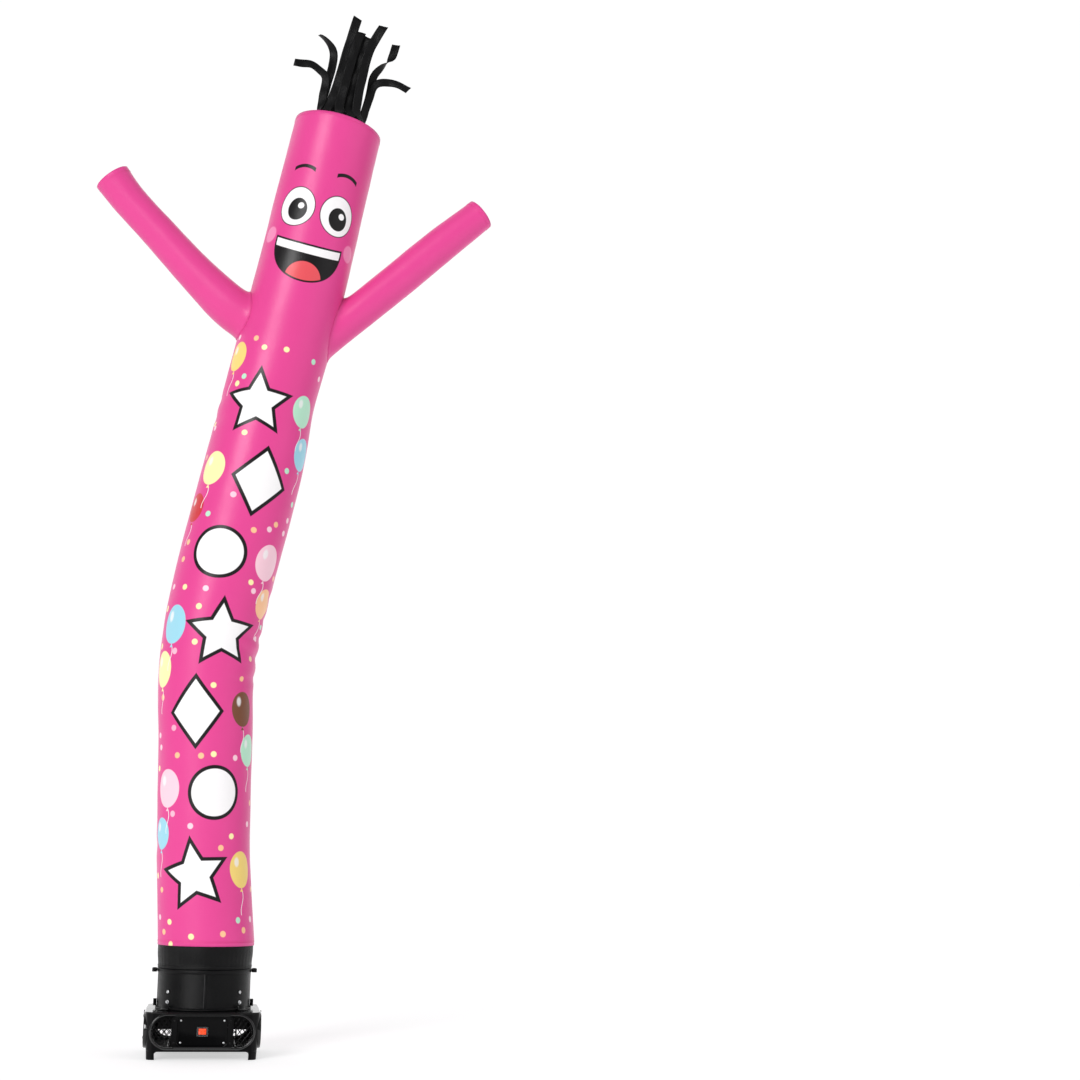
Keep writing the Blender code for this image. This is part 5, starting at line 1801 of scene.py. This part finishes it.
def buildSwitch():
    setup = switchSetup
    back, front = panelSetup["floor"] + gap, setup["coverFront"]
    rows = [(0.0132, 0.0108, 0.0006, 0), (0.0190, 0.0170, 0.0016, 0), (0.0190, 0.0170, 0.0016, 0.0017),
            (0.0186, 0.0166, 0.0014, 0.0021), (0.0181, 0.0156, 0.0012, 0.0022),
            (0.0179, 0.0154, 0.0012, 0.0037), (0.0176, 0.0151, 0.0011, 0.0040),
            (0.0140, 0.0116, 0.0008, 0.0040), (0.0133, 0.0109, 0.0006, 0.0034)]
    bezel = loftRows("switchBezel", [(*row, back + z) for *row, z in rows], "blackScrew", 35, 4, True)
    foot = back + 0.0043
    rows = [(0.0146, 0.0118, 0.0012, front - setup["coverWall"]), (0.0146, 0.0118, 0.0012, foot),
            (0.0178, 0.0150, 0.0014, foot), (0.0178, 0.0150, 0.0014, foot + 0.0012),
            (0.0174, 0.0146, 0.0012, foot + 0.0016), (0.0161, 0.0133, 0.0012, foot + 0.0017),
            (0.0158, 0.0130, 0.0016, foot + 0.0022), (0.0156, 0.0128, 0.0018, front - 0.0008),
            (0.0150, 0.0122, 0.0016, front)]
    cover = loftRows("switchCover", rows, "cover", 35, 4)
    fitted(settled(bezel, facing(0, 0, windowZ)), "housing", "switch_bezel")
    fitted(settled(cover, facing(0, 0, windowZ)), "clear_cover", "switch_cover")
    half, wide = setup["rocker"]
    arc = [(half * math.cos(math.pi * k / 12), 0.0045 + 0.0015 * math.cos(math.pi * k / 12) ** 2)
           for k in range(1, 12)]
    outline = [(-half, 0.0010), (-0.0030, -0.0014), (0.0030, -0.0014), (half, 0.0010), (half, 0.0060), *arc,
               (-half, 0.0060)]
    rocker = moved(extruded("redRocker", outline, wide, "rocker", 0.0005),
                   Matrix(((0, 1, 0, 0), (0, 0, -1, 0), (1, 0, 0, 0), (0, 0, 0, 1))))
    place = shift(0, -setup["rockerAt"], windowZ) @ spin(math.radians(setup["tilt"]), "X")
    fitted(settled(rocker, place), "red_rocker", "switch_rocker", body="rocker")


buildPanel()
buildSwitch()
print("switch made")


# duct, hoop, hook band, guard, tabs and clips

ductSetup = {
    "radius": 0.152,
    "bore": 0.147,
    "foot": (0.159, 0.0068),
    "hoopZ": (0.2715, 0.2842),
    "hoopRadius": 0.1565,
    "bandZ": (0.2848, 0.3219),
    "seat": 0.150,
    "flange": 0.1535,
    "lip": 0.1545,
    "top": 0.344,
    "steps": 160,
    "seamZ": 0.2145,
    "seamHalf": 0.0566,
    "ribs": ((0.0, 0.0026, 0.0014, "seamHighlight"), (0.0054, 0.0064, 0.0006, "grained")),   # offset, width, height
}


def seamRibs(azimuth):
    # a lapped seam: the raised edge of one panel, painted lighter grey as a highlight, beside the groove of
    # the next
    radius, long = ductSetup["radius"], ductSetup["seamHalf"]
    for offset, wide, proud, look in ductSetup["ribs"]:
        rows = [(wide / 2, long, 0.0006, -0.0022), (wide / 2, long, 0.0006, proud - 0.0005),
                (wide / 2 - 0.0005, long - 0.0005, 0.0005, proud)]
        yield moved(loftRows("seam", rows, look, 40, 2), spin(math.radians(azimuth) + offset / radius)
                    @ shift(0, -radius, ductSetup["seamZ"]) @ spin(math.pi / 2, "X"))


def buildDuct():
    setup = ductSetup
    radius, bore, seat, flange, lip, top, steps = (
        setup[key] for key in ("radius", "bore", "seat", "flange", "lip", "top", "steps"))
    foot, (bandLow, bandHigh), (footRadius, footHeight) = deckZ + gap, setup["bandZ"], setup["foot"]
    profile = [(lip, top, 0.0014), (lip, top - 0.004, 0.0012), (flange, top - 0.0044, 0.0003),
               (flange, bandHigh + gap, 0.0010), (seat, bandHigh + gap, 0.0004),
               (seat, bandLow - gap, 0.0004),
               (radius, bandLow - gap, 0.0008), (radius, foot + footHeight + 0.0012, 0.0020),
               (footRadius - 0.0012, foot + footHeight, 0.0020), (footRadius, foot + 0.0034, 0.0020),
               (footRadius - 0.0012, foot, 0.0008), (bore, foot, 0.0006), (bore, top, 0.0008)]
    tube = lathe("ductTube", roundedProfile(profile, 3), steps, "grained", 40)
    ribs = [rib for azimuth in quarterTurns for rib in seamRibs(azimuth)]
    fitted(settled(joined("ductMoulded", [tube, *ribs])), "grained_plastic", "duct")
    (low, high), inner, outer = setup["hoopZ"], radius + gap, setup["hoopRadius"]
    profile = [(outer - 0.0006, high - 0.0004, 0.0022), (outer, (low + high) / 2, 0.004),
               (outer - 0.0006, low, 0.0022), (inner, low, 0.0004), (inner, high - 0.0004, 0.0004)]
    hoop = lathe("hoopRolled", roundedProfile(profile, 5), steps, "grained", 40)
    fitted(settled(hoop), "grained_plastic", "hoop_ring")


def buildHookBand(around=480, ribs=120):
    (low, high), seat = ductSetup["bandZ"], ductSetup["seat"]
    loops = []
    for z, depth in ((low, 0.0), (low + 0.0004, 1.0), (high - 0.0004, 1.0), (high, 0.0)):
        radii = [seat + 0.0013 + depth * (0.0006 + 0.0004 * math.cos(ribs * math.tau * k / around))
                 for k in range(around)]
        loops.append([(r * x, r * y, z) for r, (x, y, _) in zip(radii, circle(1, 0, around))])
    loops += [circle(seat + gap, z, around) for z in (high, low)]
    fitted(settled(skinned("hookBandRibbed", loops, "hooks", 60, False, True)), "hook_tape", "hook_band")


guardSetup = {
    "z": 0.3464,
    "edges": (0.3443, 0.3483),
    "fine": {"rings": 8, "spokes": 8, "inner": 0.0450, "outer": 0.1340, "width": 0.0026, "depth": 0.0030},
    "short": {"rings": 2, "spokes": 32, "inner": 0.1080, "outer": 0.1340, "width": 0.0018, "depth": 0.0026},
    "screwsAt": 0.1440,
}


def buildGuard():
    setup = guardSetup
    low, high = setup["edges"]
    parts = [moved(guardTree.grow(name, linesMesh(name, []), "housing", **setup[bars]),
                   shift(0, 0, setup["z"]))
             for name, bars in (("guardRings", "fine"), ("guardShort", "short"))]
    for name, outer, inner, steps in (("guardRim", 0.1545, 0.1330, 128), ("guardHub", 0.0455, 0.0350, 64)):
        profile = [(outer, high), (outer, low), (inner, low), (inner, high)]
        parts.append(lathe(name, roundedProfile(profile, 3), steps, "housing", 40))
    spots = [shift(setup["screwsAt"] * math.cos(a), setup["screwsAt"] * math.sin(a), high)
             for a in (math.radians(22.5 + 45 * k) for k in range(8))]
    parts.append(screwsAt("guardScrews", (0.0034, 0.0014), spots))
    fitted(settled(joined("topGuard", parts)), "housing", "top_grille")


tabSetup = {
    "across": (0.1568, 0.1730),
    # less off the half width, half length, corner, height
    "rows": ((0.001, 0.0240, 0.003, 0.2715), (0.0, 0.0250, 0.004, 0.2725), (0.0, 0.0250, 0.004, 0.2827),
             (0.0008, 0.0242, 0.0034, 0.2835), (0.0030, 0.0215, 0.002, 0.2835),
             (0.0036, 0.0209, 0.002, 0.2829), (0.0038, 0.0207, 0.002, 0.2801)),
    "clipZ": 0.1716,
    "clipRows": ((0.0096, 0.0110, 0.0015, 0.1541), (0.0100, 0.0114, 0.0018, 0.1546),
                 (0.0100, 0.0114, 0.0018, 0.1644), (0.0094, 0.0108, 0.0014, 0.1650),
                 (0.0064, 0.0080, 0.0010, 0.1650), (0.0060, 0.0076, 0.0010, 0.1645),
                 (0.0060, 0.0076, 0.0010, 0.1618)),
    "clipScrew": (0.0027, 0.0014),
}


def buildTabs():
    setup = tabSetup
    (near, far), clipZ = setup["across"], setup["clipZ"]
    for side, turn in (("left", spin(math.pi)), ("right", spin(0.0))):
        rows = [((far - near) / 2 - less, *row) for less, *row in setup["rows"]]
        tab = loftRows("hoopTab_" + side, rows, "grained", 40, 4)
        fitted(settled(tab, turn @ shift((near + far) / 2, 0, 0)), "grained_plastic", "hoop_tab_" + side)
        clip = moved(loftRows("footClip_" + side, setup["clipRows"], "grained", 40, 4),
                     Matrix(((0, 0, 1, 0), (1, 0, 0, 0), (0, 1, 0, clipZ), (0, 0, 0, 1))))
        screw = moved(panHead(*setup["clipScrew"], "blackScrew"),
                      shift(0.1596, -0.0100, clipZ) @ spin(math.pi / 2, "X"))
        clip = joined("footClip_" + side, [clip, screw])
        fitted(settled(clip, turn), "grained_plastic", "foot_clip_" + side)


buildDuct()
buildHookBand()
buildGuard()
buildTabs()
print("duct made")


# floor and light

stageSetup = {
    "floorTones": (tint(208, 208, 209), tint(203, 203, 204)),
    "floorGlow": 0.56,
    "world": {"front": 0.28, "behind": 1.02, "turn": (0.0, 0.7)},
    "suns": (                   # from across, front-back and above, strength, softness in degrees
        ((-0.50, -0.80, 0.38), 1.90, 24.0),
        ((0.85, -0.45, 0.55), 0.42, 50.0),
    ),
}
white = (1.0, 1.0, 1.0, 1.0)


def buildWorld(setup):
    # dimmer on the camera's side, white behind the object
    world = bpy.data.worlds.new("studio")
    world.use_nodes = True
    nodes, links = world.node_tree.nodes, world.node_tree.links
    place, parts, blend = (nodes.new("ShaderNode" + kind) for kind in ("TexCoord", "SeparateXYZ", "MapRange"))
    blend.interpolation_type = "SMOOTHSTEP"
    limits = (*setup["turn"], setup["front"], setup["behind"])
    for key, value in zip(("From Min", "From Max", "To Min", "To Max"), limits):
        blend.inputs[key].default_value = value
    links.new(place.outputs["Generated"], parts.inputs[0])
    links.new(parts.outputs["Y"], blend.inputs["Value"])
    links.new(blend.outputs[0], nodes["Background"].inputs["Strength"])
    nodes["Background"].inputs["Color"].default_value = white
    bpy.context.scene.world = world


def buildStage():
    setup = stageSetup
    paint = Paint("paleFloor")
    color = paint.mix(paint.grain(paint.objectPlace(), 1.2, 3.0), *setup["floorTones"])
    finishes["floor"] = paint.finish({"Roughness": 0.9, "Specular IOR Level": 0.1, "Emission Color": white,
                                      "Emission Strength": setup["floorGlow"]}, Base_Color=color)
    bm = bmesh.new()
    bmesh.ops.create_grid(bm, x_segments=1, y_segments=1, size=60.0)
    moved(fromBmesh("floor", bm, "floor"), shift(0, 0, -0.0002))
    buildWorld(setup["world"])
    for number, (toward, strength, soft) in enumerate(setup["suns"], start=1):
        light = bpy.data.lights.new(f"sun{number}", "SUN")
        light.energy, light.angle = strength, math.radians(soft)
        lamp = linked(light.name, light)
        lamp.rotation_euler = (-Vector(toward)).to_track_quat("-Z", "Y").to_euler()
    bpy.context.scene.view_settings.view_transform = "Standard"


buildStage()
print("stage made")
